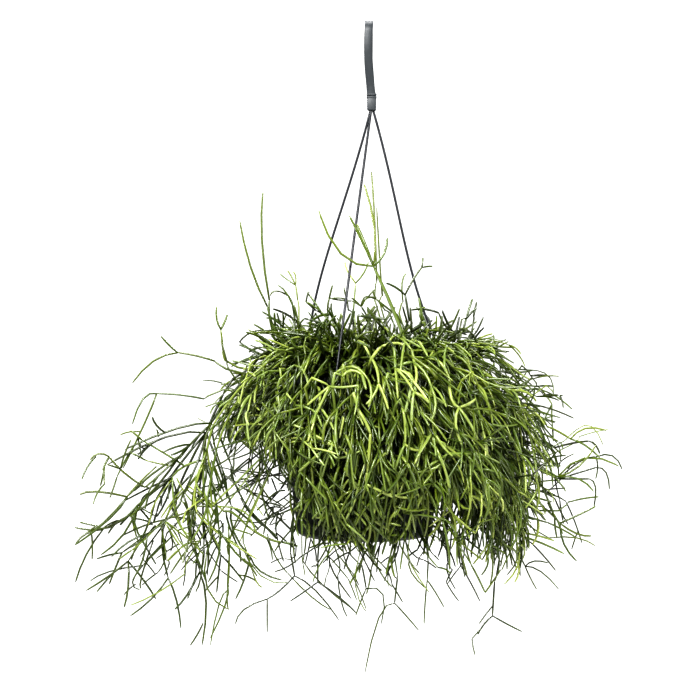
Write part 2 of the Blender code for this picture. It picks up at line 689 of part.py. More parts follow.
def build_pot(collection, parent):
    """The tapered plastic pot: floor, wall, flanged rim with a lip, foot ring, drain and strand holes."""
    base = -POT_HEIGHT
    floor = base + FOOT_RECESS + POT_FLOOR
    corner = POT_BASE_R - POT_CORNER_R
    low = floor + INNER_CORNER
    profile = [
        (0, floor), (corner, floor), (wall_radius(low) - POT_WALL, low),
        (wall_radius(0) - POT_WALL, 0), (RIM_R - RIM_EDGE, 0), (RIM_R, -RIM_EDGE),
        (RIM_R, -LIP_DROP), (RIM_R - LIP_THICK, -LIP_DROP), (RIM_R - LIP_THICK, -RIM_THICK),
        (POT_TOP_R, -RIM_THICK), (wall_radius(base + POT_CORNER_R), base + POT_CORNER_R),
    ]
    for degrees in (45, 90):
        turn = math.radians(degrees)
        profile.append((corner + POT_CORNER_R * math.cos(turn), base + POT_CORNER_R * (1 - math.sin(turn))))
    foot = corner - FOOT_WIDTH
    profile += [(foot, base), (foot, base + FOOT_RECESS), (0, base + FOOT_RECESS)]
    pot = turned_mesh("pot", profile, POT_SIDES, collection)
    pot.parent = parent
    drains = [polar(DRAIN_CIRCLE_R, 360 * i / DRAIN_HOLES, 0) for i in range(DRAIN_HOLES)]
    holes = [polar(STRAND_CIRCLE_R, azimuth, 0) for azimuth in STRAND_AZIMUTHS]
    for name, radius, bottom, top, places in (
        ("drains", DRAIN_HOLE_R, base, floor, drains), ("strand_holes", STRAND_HOLE_R, -RIM_THICK, 0, holes),
    ):
        cutters = add_cutters(name, radius, bottom - CUT_PAST, top + CUT_PAST, places, HOLE_SIDES, parent)
        add_boolean(pot, "DIFFERENCE", cutters)
    return pot


def build_soil(collection, parent):
    """The soil: it fills the pot to just below the rim, with a plain hole for each clump's root."""
    floor = -POT_HEIGHT + FOOT_RECESS + POT_FLOOR + SEAT_GAP
    low = floor + INNER_CORNER
    inset = POT_WALL + SEAT_GAP
    profile = [
        (0, -SOIL_DROP), (wall_radius(-SOIL_DROP) - inset, -SOIL_DROP),
        (wall_radius(low) - inset, low), (POT_BASE_R - POT_CORNER_R - SEAT_GAP, floor), (0, floor),
    ]
    soil = turned_mesh("soil", profile, POT_SIDES, collection)
    soil.parent = parent
    places = [polar(ROOT_CIRCLE_R, clump_middle(clump), 0) for clump in range(CLUMPS)]
    bottom = -SOIL_DROP - ROOT_DEPTH - SEAT_GAP
    cutters = add_cutters("root_holes", ROOT_R + SEAT_GAP, bottom, 0, places, ROOT_SIDES, parent)
    add_boolean(soil, "DIFFERENCE", cutters)
    return soil


def strap_centre_line():
    """The strap's centre line seen from its side, as depth and height, from the block up and over to the tip."""
    middle = HOOK_INNER_HALF + STRAP_THICK / 2
    top = STRAP_THICK / 2
    line = [(0.0, -HOOK_LENGTH - STRAP_ROOT)] + [(depth, -share * HOOK_LENGTH) for depth, share in STRAP_EASE]
    half = HOOK_SEAT_FLAT / 2
    for i in range(HOOK_ARC_STEPS + 1):
        turn = math.radians(90 * i / HOOK_ARC_STEPS)
        line.append((-half - (middle - half) * math.cos(turn), top - HOOK_ARC_DROP * (1 - math.sin(turn))))
    for i in range(HOOK_ARC_STEPS + 1):
        turn = math.radians(90 - 90 * i / HOOK_ARC_STEPS)
        line.append((half + (middle - half) * math.cos(turn), top - HOOK_ARC_DROP * (1 - math.sin(turn))))
    line.append((middle + HOOK_TIP_SPREAD, top - HOOK_TIP_DROP))
    return [Vector((depth, height)) for depth, height in line]


def both_sides(line, half):
    """The closed outline of a strip, half a thickness to either side of its centre line."""
    left, right = [], []
    for i, point in enumerate(line):
        before = (point - line[i - 1]).normalized() if i else None
        after = (line[i + 1] - point).normalized() if i + 1 < len(line) else None
        along = ((before or after) + (after or before)).normalized()
        normal = Vector((-along.y, along.x))
        width = half / max(normal.dot(Vector((-(after or before).y, (after or before).x))), 0.5)
        left.append(point + normal * width)
        right.append(point - normal * width)
    return left + right[::-1]


def build_hook(collection):
    """The hanger's strap, bent into a hook at its top, with the socket block at its lower end."""
    curve = bpy.data.curves.new("strap", "CURVE")
    curve.dimensions = "2D"
    curve.fill_mode = "BOTH"
    curve.extrude = STRAP_WIDTH / 2
    outline_points = both_sides(strap_centre_line(), STRAP_THICK / 2)
    spline = curve.splines.new("POLY")
    spline.points.add(len(outline_points) - 1)
    for point, place in zip(spline.points, outline_points):
        point.co = (place.x, place.y, 0, 1)
    spline.use_cyclic_u = True
    flat = add_object("strap", curve, collection)
    strap = closed_mesh(all_applied([flat])[0])
    bpy.data.objects.remove(flat)
    for vertex in strap.vertices:
        across, depth, height = vertex.co.z, vertex.co.x, vertex.co.y
        share = min(max(-height / HOOK_LENGTH, 0.0), 1.0)
        bow = STRAP_LEAN * share * share - STRAP_BOW * math.sin(math.pi * share)
        vertex.co = (across + bow, depth, height)
    hook = add_object("hanger_hook", strap, collection)
    parts = new_collection("hook_parts")
    top = -HOOK_LENGTH
    for side, height in ((BLOCK_SIDE, BLOCK_HEIGHT), (COLLAR_SIDE, COLLAR_HEIGHT)):
        mesh = bpy.data.meshes.new("block")
        bm = bmesh.new()
        bmesh.ops.create_cube(bm, size=1)
        bmesh.ops.scale(bm, vec=(side, side, height), verts=bm.verts)
        bmesh.ops.bevel(
            bm, geom=bm.edges, offset=BLOCK_CHAMFER, segments=1, affect="EDGES", profile=0.5, material=-1)
        bmesh.ops.translate(bm, vec=(STRAP_LEAN, 0, top - height / 2), verts=bm.verts)
        bm.to_mesh(mesh)
        bm.free()
        add_object("block", mesh, parts)
    add_boolean(hook, "UNION", parts)
    bottom = top - BLOCK_HEIGHT
    radius = STRAND_BUNDLE_R + STRAND_R + SEAT_GAP
    socket = Vector((STRAP_LEAN, 0, 0))
    cutters = add_cutters(
        "socket", radius, bottom - CUT_PAST, bottom + SOCKET_DEPTH, [socket], SOCKET_SIDES, None)
    add_boolean(hook, "DIFFERENCE", cutters)
    mesh = bpy.data.meshes.new_from_object(all_applied([hook])[0])
    hook.modifiers.clear()
    hook.data = mesh
    empty_collections(parts, cutters)
    return hook


def empty_collections(*collections):
    """The collections and their objects removed, once what they cut or joined is applied."""
    for collection in collections:
        for made in list(collection.objects):
            bpy.data.objects.remove(made)
        bpy.data.collections.remove(collection)


def build_strand(index, section, collection, parent):
    """One strand: from the block's socket down through its hole in the rim, to a knob under the flange."""
    block_bottom = RIM_DROP - HOOK_LENGTH - BLOCK_HEIGHT
    top = strand_centre(index, block_bottom)
    line = [top + Vector((0, 0, SOCKET_DEPTH - SEAT_GAP))]
    line += [strand_centre(index, block_bottom * (1 - i / STRAND_STEPS)) for i in range(STRAND_STEPS)]
    foot = strand_centre(index, 0)
    knob_top = -RIM_THICK - SEAT_GAP
    line += [foot + Vector((0, 0, height)) for height in (STRAND_FOOT, knob_top)]
    radii = [STRAND_R] * len(line)
    line += [foot + Vector((0, 0, knob_top - drop * KNOB_HEIGHT)) for drop, _ in KNOB_SHAPE]
    radii += [share * KNOB_R for _, share in KNOB_SHAPE]
    return add_tubes(f"hanger_strand_{index + 1}", [(line, radii)], section, collection, parent)[0]


def add_core(name, clump, collection, parent):
    """A clump's matted core: a loft from side plane to side plane that rests on the soil and over the rim."""
    inside = [
        (CORE_TOP_R, -SOIL_DROP + SEAT_GAP), (CORE_SHELF_R, -SOIL_DROP + SEAT_GAP),
        (CORE_SHELF_R + CORE_STEP_OUT, 2 * SEAT_GAP), (RIM_R + CORE_BROW, 2 * SEAT_GAP),
        (CORE_INNER_R - CORE_UNDERCUT, -LIP_DROP),
    ]
    start = FIRST_CLUMP_AZIMUTH + CLUMP_ANGLE * (clump - 0.5)
    rng = random.Random(500 + clump)
    bm = bmesh.new()
    rings = []
    for step in range(CORE_STEPS + 1):
        azimuth = start + CLUMP_ANGLE * step / CORE_STEPS
        skirt = core_point(azimuth, 1.0).z
        section = [polar(radius, azimuth, height) for radius, height in inside]
        section.append(polar(CORE_INNER_R, azimuth, CORE_HEM * skirt))
        shares = CORE_SKIRT_SHARES[::-1] + CORE_DOME_SHARES[::-1]
        outside = [core_point(azimuth, share) for share in shares]
        middle = polar(CORE_MIDDLE_R, azimuth, -CORE_MIDDLE_DROP)
        section += [p + (middle - p).normalized() * rng.uniform(0, CORE_HOLLOWS) for p in outside]
        section.append(polar(CORE_TOP_R, azimuth, CORE_FLATNESS * MOUND_TOP))
        lean = {0: 1, CORE_STEPS: -1}.get(step, 0)
        ring = []
        for point in section:
            radius = math.hypot(point.x, point.y)
            inset = math.degrees(math.asin(PARTING / radius)) * lean
            ring.append(bm.verts.new(polar(radius, azimuth_of(point) + inset, point.z)))
        rings.append(ring)
    count = len(rings[0])
    for a, b in zip(rings, rings[1:]):
        for i in range(count):
            bm.faces.new((a[i], a[(i + 1) % count], b[(i + 1) % count], b[i]))
    bm.faces.new(rings[0])
    bm.faces.new(rings[-1])
    bmesh.ops.recalc_face_normals(bm, faces=bm.faces)
    bmesh.ops.triangulate(bm, faces=bm.faces)
    mesh = bpy.data.meshes.new(name)
    bm.to_mesh(mesh)
    bm.free()
    return add_object(name, mesh, collection, parent)


def largest_body(mesh):
    """The mesh with loose scraps and sealed hollows dropped, so that one closed body is left."""
    bm = bmesh.new()
    bm.from_mesh(mesh)
    left = set(bm.verts)
    bodies = []
    while left:
        body, edge = set(), [left.pop()]
        while edge:
            vertex = edge.pop()
            body.add(vertex)
            for link in vertex.link_edges:
                other = link.other_vert(vertex)
                if other in left:
                    left.discard(other)
                    edge.append(other)
        bodies.append(body)
    bodies.sort(key=len)
    for body in bodies[:-1]:
        bmesh.ops.delete(bm, geom=list(body), context="VERTS")
    bm.to_mesh(mesh)
    bm.free()


def build_clump(clump, section, collection, channels, parent):
    """One clump: its core, its root in the soil and its stems and twigs, joined in one body."""
    made = add_core(f"stem_clump_{clump + 1}", clump, collection, parent)
    parts = new_collection("clump_parts")
    root = polar(ROOT_CIRCLE_R, clump_middle(clump), 0)
    add_cylinder("root", ROOT_R, -SOIL_DROP - ROOT_DEPTH, -ROOT_TOP_DROP, root, ROOT_SIDES, parts, parent)
    taken = {}
    stems = placed_shoots(clump, taken) + sprays(clump, taken)
    add_tubes("stem", stems, section, parts, parent)
    add_boolean(made, "DIFFERENCE", channels)
    add_boolean(made, "UNION", parts, "MANIFOLD")
    mesh = bpy.data.meshes.new_from_object(all_applied([made])[0])
    made.modifiers.clear()
    made.data = mesh
    empty_collections(parts)
    largest_body(mesh)
    return made


def add_channels(section, parent):
    """A cutter round the lower part of each strand, which keeps the cores clear of it."""
    channels = new_collection("strand_channels")
    lines = []
    for index in range(len(STRAND_AZIMUTHS)):
        line = [strand_centre(index, CHANNEL_TOP - CHANNEL_STEP * i) for i in range(CHANNEL_STEPS)]
        line += [strand_centre(index, 0) + Vector((0, 0, height)) for height in (STRAND_FOOT, -STRAND_FOOT)]
        lines.append((line, [STRAND_R + CHANNEL_CLEAR] * len(line)))
    for cutter in add_tubes("channel", lines, section, channels, parent):
        cutter.hide_render = True
        cutter.display_type = "WIRE"
    return channels


def finish(made, material, smooth=40):
    """The piece's material set, with faces shaded smooth where they meet at less than an angle in degrees."""
    made.data.materials.clear()
    made.data.materials.append(material)
    made.data.shade_smooth()
    made.data.set_sharp_from_angle(angle=math.radians(smooth))


def main():
    """Builds every piece of the hanging pot and its plant."""
    for old in list(bpy.data.objects):
        bpy.data.objects.remove(old)
    model = new_collection("potted_mistletoe_cactus")
    guides = new_collection("guides")
    axis = bpy.data.objects.new("pot_axis", None)
    axis.location = (POT_AXIS_X, 0, -RIM_DROP)
    guides.objects.link(axis)
    bpy.context.view_layer.update()
    stem_section = section_curve("stem_section", STEM_SIDES, guides)
    strand_section = section_curve("strand_section", STRAND_SIDES, guides)

    grey = plain_material("hanger_plastic", HANGER_GREY, 0.40)
    finish(build_hook(model), grey)
    for index in range(len(STRAND_AZIMUTHS)):
        finish(build_strand(index, strand_section, model, axis), grey, 60)

    channels = add_channels(strand_section, axis)
    greens = [plain_material(f"stem_green_{i + 1}", colour, 0.5) for i, colour in enumerate(LEAF_GREENS)]
    for clump in range(CLUMPS):
        made = build_clump(clump, stem_section, model, channels, axis)
        finish(made, greens[clump % len(greens)], 5)
    empty_collections(channels)

    finish(build_pot(model, axis), plain_material("pot_plastic", POT_BLACK, 0.45))
    finish(build_soil(model, axis), plain_material("soil", SOIL_BROWN, 0.95))


main()
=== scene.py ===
"""Looks of the hanging pot of mistletoe cactus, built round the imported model.

Everything is in metres with +Z up. The origin is the flat seat in the hook's bend, and -Y faces the viewer.
The pot and its plant are worked out in the pot's own frame, whose height zero is the top of the rim, and are
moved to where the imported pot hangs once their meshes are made.
"""

from __future__ import annotations

import logging
import math
import random
from dataclasses import dataclass, field
from enum import Enum
from typing import NamedTuple, Sequence

import bmesh
import bpy
import numpy as np
from mathutils import Matrix, Vector, noise

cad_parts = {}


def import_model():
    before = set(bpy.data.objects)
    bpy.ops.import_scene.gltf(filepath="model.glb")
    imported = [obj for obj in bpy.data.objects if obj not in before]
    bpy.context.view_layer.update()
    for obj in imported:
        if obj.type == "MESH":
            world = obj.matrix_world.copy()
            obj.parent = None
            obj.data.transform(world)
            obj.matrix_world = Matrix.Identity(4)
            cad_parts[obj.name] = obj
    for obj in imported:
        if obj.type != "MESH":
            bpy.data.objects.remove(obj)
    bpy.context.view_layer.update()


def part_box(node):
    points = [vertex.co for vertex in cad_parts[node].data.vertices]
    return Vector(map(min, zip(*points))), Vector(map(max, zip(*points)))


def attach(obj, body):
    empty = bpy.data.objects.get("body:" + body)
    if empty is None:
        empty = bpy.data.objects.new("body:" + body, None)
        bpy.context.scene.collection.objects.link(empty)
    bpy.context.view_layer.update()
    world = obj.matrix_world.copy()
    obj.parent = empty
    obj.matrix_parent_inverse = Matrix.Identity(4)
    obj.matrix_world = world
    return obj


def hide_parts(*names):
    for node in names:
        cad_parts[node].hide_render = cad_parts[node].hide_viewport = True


LOG = logging.getLogger("mistletoe_cactus")

TURN = 2 * math.pi
UP = Vector((0, 0, 1))
DOUBLES = 1e-6  # points nearer than this are merged
Pair = tuple[float, float]  # mostly the least and the greatest of a value
Place = tuple[float, float, float]
Colour = tuple[float, float, float]
Row = tuple[float, ...]
Points = Vector | np.ndarray  # one point, or an array of them


class Slot(Enum):
    """The record's material slots."""

    HANGER = "hanger_plastic"
    POT = "pot_plastic"
    SOIL = "potting_soil"
    STEM = "cactus_stem"


# Meshes and objects


def add_piece(name: str, mesh: bpy.types.Mesh) -> bpy.types.Object:
    """Links a new object that shows a mesh.

    Args:
        name: The piece's name.
        mesh: The piece's mesh, in its place.

    Returns:
        The new object, at the origin.
    """
    piece = bpy.data.objects.new(name, mesh)
    bpy.context.scene.collection.objects.link(piece)
    return piece


def mesh_from(bm: bmesh.types.BMesh, name: str, sharp_degrees: float = 40.0) -> bpy.types.Mesh:
    """Turns a bmesh into a smooth-shaded mesh and frees it.

    Args:
        bm: The shape.
        name: The mesh's name.
        sharp_degrees: Edges that bend more than this stay sharp.

    Returns:
        The new mesh.
    """
    mesh = bpy.data.meshes.new(name)
    bm.to_mesh(mesh)
    bm.free()
    mesh.shade_smooth()
    mesh.set_sharp_from_angle(angle=math.radians(sharp_degrees))
    return mesh


def applied(piece: bpy.types.Object) -> bpy.types.Mesh:
    """Works out an object's modifiers.

    Args:
        piece: An object with live modifiers, or a curve.

    Returns:
        A new mesh of the shape that they make.
    """
    bpy.context.view_layer.update()
    return bpy.data.meshes.new_from_object(piece.evaluated_get(bpy.context.evaluated_depsgraph_get()))


def on_arc(start: Points, bend: Points, end: Points, t: float | np.ndarray) -> Points:
    """Gives the point or points of an arc from start past bend to end, at t from 0 to 1."""
    return start * (1 - t) ** 2 + bend * 2 * t * (1 - t) + end * t * t


def eased(points: Sequence[Vector], radius: float, steps: int) -> list[Vector]:
    """Rounds the inner corners of an open line of points.

    Args:
        points: The line's corners.
        radius: How far from a corner its rounding starts.
        steps: How many short runs a rounding has.

    Returns:
        The line with each corner but its ends rounded.
    """
    longest = 0.45  # of the run to the next corner
    line = [points[0]]
    for before, corner, after in zip(points, points[1:], points[2:]):
        start = corner + (before - corner).normalized() * min(radius, (before - corner).length * longest)
        end = corner + (after - corner).normalized() * min(radius, (after - corner).length * longest)
        line += [on_arc(start, corner, end, i / steps) for i in range(steps + 1)]
    return [*line, points[-1]]


def closed(bm: bmesh.types.BMesh) -> bmesh.types.BMesh:
    """Merges a shape's double points and turns its faces outwards.

    Args:
        bm: The shape.

    Returns:
        The same shape.
    """
    bmesh.ops.remove_doubles(bm, verts=bm.verts, dist=DOUBLES)
    bmesh.ops.recalc_face_normals(bm, faces=bm.faces)
    return bm


def turned(profile: Sequence[Vector], steps: int) -> bmesh.types.BMesh:
    """Spins a profile round the upright axis.

    Args:
        profile: Points in the XZ plane, from axis to axis.
        steps: How many sides the turned shape has.

    Returns:
        The closed shape, with its faces pointing out.
    """
    bm = bmesh.new()
    verts = [bm.verts.new(point) for point in profile]
    edges = [bm.edges.new(pair) for pair in zip(verts, verts[1:])]
    bmesh.ops.spin(
        bm, geom=verts + edges, cent=(0, 0, 0), axis=(0, 0, 1), dvec=(0, 0, 0), angle=TURN, steps=steps,
        use_merge=True, use_duplicate=False)
    return closed(bm)


def tube(name: str, line: Sequence[Vector], radii: Sequence[float], resolution: int) -> bpy.types.Mesh:
    """Makes a closed round tube along a line.

    Args:
        name: The mesh's name.
        line: The centre line.
        radii: The tube's radius at each of its points.
        resolution: The curve's bevel resolution.

    Returns:
        The tube's mesh, its caps welded on.
    """
    curve = bpy.data.curves.new(name, "CURVE")
    curve.dimensions = "3D"
    curve.bevel_depth = 1.0
    curve.bevel_resolution = resolution
    curve.use_fill_caps = True
    spline = curve.splines.new("POLY")
    spline.points.add(len(line) - 1)
    for point, place, radius in zip(spline.points, line, radii):
        point.co = (*place, 1)
        point.radius = radius
    shown = add_piece(name, curve)
    mesh = applied(shown)
    bpy.data.objects.remove(shown)
    bm = bmesh.new()
    bm.from_mesh(mesh)
    return mesh_from(closed(bm), name, 50)


# Finishes


class Nodes:
    """A node tree that is filled in one call for each node."""

    def __init__(self, tree: bpy.types.NodeTree) -> None:
        """Keeps the material's or group's node tree."""
        self.tree = tree

    def feed(self, node: bpy.types.Node, inputs: dict) -> None:
        """Sets or links a node's inputs.

        Args:
            node: The node.
            inputs: A value or an output socket for each named or numbered input.
        """
        for key, value in inputs.items():
            if isinstance(value, bpy.types.NodeSocket):
                self.tree.links.new(value, node.inputs[key])
            else:
                node.inputs[key].default_value = value

    def add(self, kind: str, inputs: dict | None = None, **settings: object) -> bpy.types.Node:
        """Adds a node.

        Args:
            kind: The node's type name, without its ShaderNode prefix.
            inputs: A value or an output socket for each named or numbered input.
            settings: The node's own properties.

        Returns:
            The node.
        """
        node = self.tree.nodes.new(f"ShaderNode{kind}")
        for key, value in settings.items():
            setattr(node, key, value)
        self.feed(node, inputs or {})
        return node

    def put(self, kind: str, inputs: dict | None = None, **settings: object) -> bpy.types.NodeSocket:
        """Adds a node as add does, and gives its first output."""
        return self.add(kind, inputs, **settings).outputs[0]

    def ramp(
        self, factor: bpy.types.NodeSocket, stops: Sequence[tuple[float, Colour]],
    ) -> bpy.types.NodeSocket:
        """Adds a colour ramp.

        Args:
            factor: What the ramp reads.
            stops: Places from 0 to 1 with their colours.

        Returns:
            The ramp's colour.
        """
        node = self.add("ValToRGB", {"Fac": factor})
        elements = node.color_ramp.elements
        while len(elements) < len(stops):
            elements.new(0.5)
        for element, (place, colour) in zip(elements, stops):
            element.position = place
            element.color = (*colour, 1)
        return node.outputs["Color"]


def new_group(
    name: str, inputs: dict[str, float], outputs: Sequence[str],
) -> tuple[Nodes, Sequence[bpy.types.NodeSocket], bpy.types.Node]:
    """Starts a shader node group.

    Args:
        name: The group's name.
        inputs: Each number that the group takes, with its default.
        outputs: The name of each number that it puts out.

    Returns:
        The group's nodes, the sockets that bring its inputs in, and the node that takes its results.
    """
    group = bpy.data.node_groups.new(name, "ShaderNodeTree")
    for label, value in inputs.items():
        socket = group.interface.new_socket(label, in_out="INPUT", socket_type="NodeSocketFloat")
        socket.default_value = value
    for label in outputs:
        group.interface.new_socket(label, in_out="OUTPUT", socket_type="NodeSocketFloat")
    given = group.nodes.new("NodeGroupInput")
    return Nodes(group), given.outputs, group.nodes.new("NodeGroupOutput")


def mottle_group() -> bpy.types.NodeTree:
    """Builds the group that mottles a surface at two scales.

    Returns:
        A group that puts out a mask from 0 to 1 and a height.
    """
    nodes, given, result = new_group("mottle", {"Coarse": 120.0, "Fine": 900.0}, ("Mask", "Height"))
    place = nodes.add("TexCoord").outputs["Object"]
    coarse = nodes.put("TexNoise", {"Vector": place, "Scale": given["Coarse"], "Detail": 3.0})
    fine = nodes.put("TexNoise", {"Vector": place, "Scale": given["Fine"], "Detail": 2.0})
    nodes.feed(result, {
        "Mask": nodes.put("MapRange", {"Value": coarse, "From Min": 0.3, "From Max": 0.7}),
        "Height": nodes.put("Math", {0: coarse, 1: fine}, operation="ADD")})
    return nodes.tree


def scuff_group() -> bpy.types.NodeTree:
    """Builds the group of fine scuffs and settled dust on moulded plastic.

    Returns:
        A group that puts out a scuff mask, a dust mask and a height.
    """
    nodes, given, result = new_group("scuffs", {"Scale": 60.0, "Stretch": 6.0}, ("Scuffs", "Dust", "Height"))
    place = nodes.add("TexCoord").outputs["Object"]
    squeeze = nodes.put("CombineXYZ", {"X": given["Stretch"], "Y": given["Stretch"], "Z": 1.0})
    drawn = nodes.put("VectorMath", {0: place, 1: squeeze}, operation="MULTIPLY")
    streaks = nodes.put("TexNoise", {"Vector": drawn, "Scale": given["Scale"], "Detail": 5.0})
    scuffs = nodes.put("MapRange", {"Value": streaks, "From Min": 0.56, "From Max": 0.74})
    patches = nodes.put(
        "TexNoise", {"Vector": place, "Scale": given["Scale"], "Detail": 6.0, "Roughness": 0.7})
    grain = nodes.put("TexNoise", {"Vector": place, "Scale": 2600.0, "Detail": 2.0})
    nodes.feed(result, {
        "Scuffs": scuffs,
        "Dust": nodes.put("MapRange", {"Value": patches, "From Min": 0.48, "From Max": 0.78}),
        "Height": nodes.put("Math", {0: grain, 1: 0.5, 2: scuffs}, operation="MULTIPLY_ADD")})
    return nodes.tree


def new_material(name: str) -> tuple[Nodes, bpy.types.Node, bpy.types.Material]:
    """Starts a material.

    Args:
        name: The material's name.

    Returns:
        Its nodes, its Principled BSDF and the material.
    """
    material = bpy.data.materials.new(name)
    material.use_nodes = True
    return Nodes(material.node_tree), material.node_tree.nodes["Principled BSDF"], material


@dataclass(frozen=True)
class WaxySkin:
    """The skin of a stem: bright where young, dark where old, darker still with painted shade where it lies
    deep or low.
    """

    stops: tuple[tuple[float, Colour], ...] = (
        (0.0, (0.400, 0.475, 0.160)), (0.22, (0.245, 0.315, 0.064)), (0.45, (0.112, 0.160, 0.014)),
        (0.70, (0.050, 0.080, 0.004)), (0.88, (0.022, 0.036, 0.002)), (1.0, (0.010, 0.016, 0.001)))
    blotches: float = 0.10
    bright_tip: float = 0.10
    roughness: Pair = (0.29, 0.42)
    wrinkle_depth: float = 0.00012

    def material(self, mottle: bpy.types.NodeTree) -> bpy.types.Material:
        """Builds the material.

        Args:
            mottle: The group that mottles a surface.

        Returns:
            The material, which reads the attributes age, tone and along; the first holds painted shade as well
            as age.
        """
        nodes, shader, material = new_material("waxy_skin")
        age, tone, along = (
            nodes.add("Attribute", attribute_name=name).outputs["Fac"] for name in ("age", "tone", "along"))
        spots = nodes.add("Group", {"Coarse": 160.0, "Fine": 1300.0}, node_tree=mottle).outputs
        # The ramp darkens with each stem's age, and with painted shade that the same attribute carries for
        # stems deep in the mass, low down, high on the crown and on the sides and the back.
        blotch = nodes.put("Math", {0: spots["Mask"], 1: self.blotches, 2: age}, operation="MULTIPLY_ADD")
        shade = nodes.put("Math", {0: along, 1: -self.bright_tip, 2: blotch}, operation="MULTIPLY_ADD")
        least, most = self.roughness
        nodes.feed(shader, {
            "Base Color": nodes.put("HueSaturation", {
                "Hue": nodes.put("MapRange", {"Value": tone, "To Min": 0.486, "To Max": 0.512}),
                "Value": nodes.put("MapRange", {"Value": tone, "To Min": 1.22, "To Max": 0.80}),
                "Color": nodes.ramp(shade, self.stops)}),
            "Roughness": nodes.put("MapRange", {"Value": spots["Mask"], "To Min": least, "To Max": most}),
            "Normal": nodes.put(
                "Bump", {"Height": spots["Height"], "Strength": 0.5, "Distance": self.wrinkle_depth}),
            "Specular IOR Level": 0.8})
        return material


@dataclass(frozen=True)
class MouldedPlastic:
    """Plain moulded plastic with fine scuffs and a little dust."""

    name: str
    colour: Colour
    dust: Colour
    roughness: float
    dust_amount: float
    scale: float = 60.0
    scuff_roughness: float = 0.18
    scuff_depth: float = 0.00004

    def material(self, scuffs: bpy.types.NodeTree) -> bpy.types.Material:
        """Builds the material.

        Args:
            scuffs: The group of scuffs and dust.

        Returns:
            The material.
        """
        nodes, shader, material = new_material(self.name)
        wear = nodes.add("Group", {"Scale": self.scale, "Stretch": 7.0}, node_tree=scuffs).outputs
        most = self.roughness + self.scuff_roughness
        nodes.feed(shader, {
            "Base Color": nodes.put("MixRGB", {
                "Fac": nodes.put("Math", {0: wear["Dust"], 1: self.dust_amount}, operation="MULTIPLY"),
                "Color1": (*self.colour, 1), "Color2": (*self.dust, 1)}, blend_type="MIX"),
            "Roughness": nodes.put(
                "MapRange", {"Value": wear["Scuffs"], "To Min": self.roughness, "To Max": most}),
            "Normal": nodes.put(
                "Bump", {"Height": wear["Height"], "Strength": 0.4, "Distance": self.scuff_depth})})
        return material


@dataclass(frozen=True)
class DampPeat:
    """Dark crumbly potting soil."""

    dark: Colour = (0.016, 0.010, 0.006)
    light: Colour = (0.070, 0.042, 0.024)
    crumb_depth: float = 0.0012

    def material(self, mottle: bpy.types.NodeTree) -> bpy.types.Material:
        """Builds the material.

        Args:
            mottle: The group that mottles a surface.

        Returns:
            The material.
        """
        nodes, shader, material = new_material("damp_peat")
        crumbs = nodes.add("Group", {"Coarse": 260.0, "Fine": 1500.0}, node_tree=mottle).outputs
        nodes.feed(shader, {
            "Base Color": nodes.ramp(crumbs["Mask"], ((0.0, self.dark), (1.0, self.light))),
            "Normal": nodes.put("Bump", {"Height": crumbs["Height"], "Distance": self.crumb_depth}),
            "Roughness": 0.95})
        return material


# The pot's frame and the mound's outline


@dataclass(frozen=True)
class PotPlace:
    """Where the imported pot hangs."""

    axis: Vector
    rim_radius: float
    height: float

    @classmethod
    def read(cls) -> PotPlace:
        """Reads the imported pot's box.

        Returns:
            The point on the pot's axis at the top of the rim, with the rim's radius and the pot's height.
        """
        low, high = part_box("pot")
        middle = (low + high) / 2
        return cls(Vector((middle.x, 0, high.z)), (high.y - low.y) / 2, high.z - low.z)

    def settle(self, mesh: bpy.types.Mesh) -> bpy.types.Mesh:
        """Moves a mesh from the pot's own frame to where the pot hangs."""
        mesh.transform(Matrix.Translation(self.axis))
        return mesh


def polar(radius: float, azimuth: float, height: float) -> Vector:
    """Gives a point by radius, azimuth in degrees and height above the rim."""
    turn = math.radians(azimuth)
    return Vector((radius * math.cos(turn), radius * math.sin(turn), height))


def azimuth_of(point: Vector) -> float:
    """Gives a point's azimuth in degrees round the pot's axis."""
    return math.degrees(math.atan2(point.y, point.x))


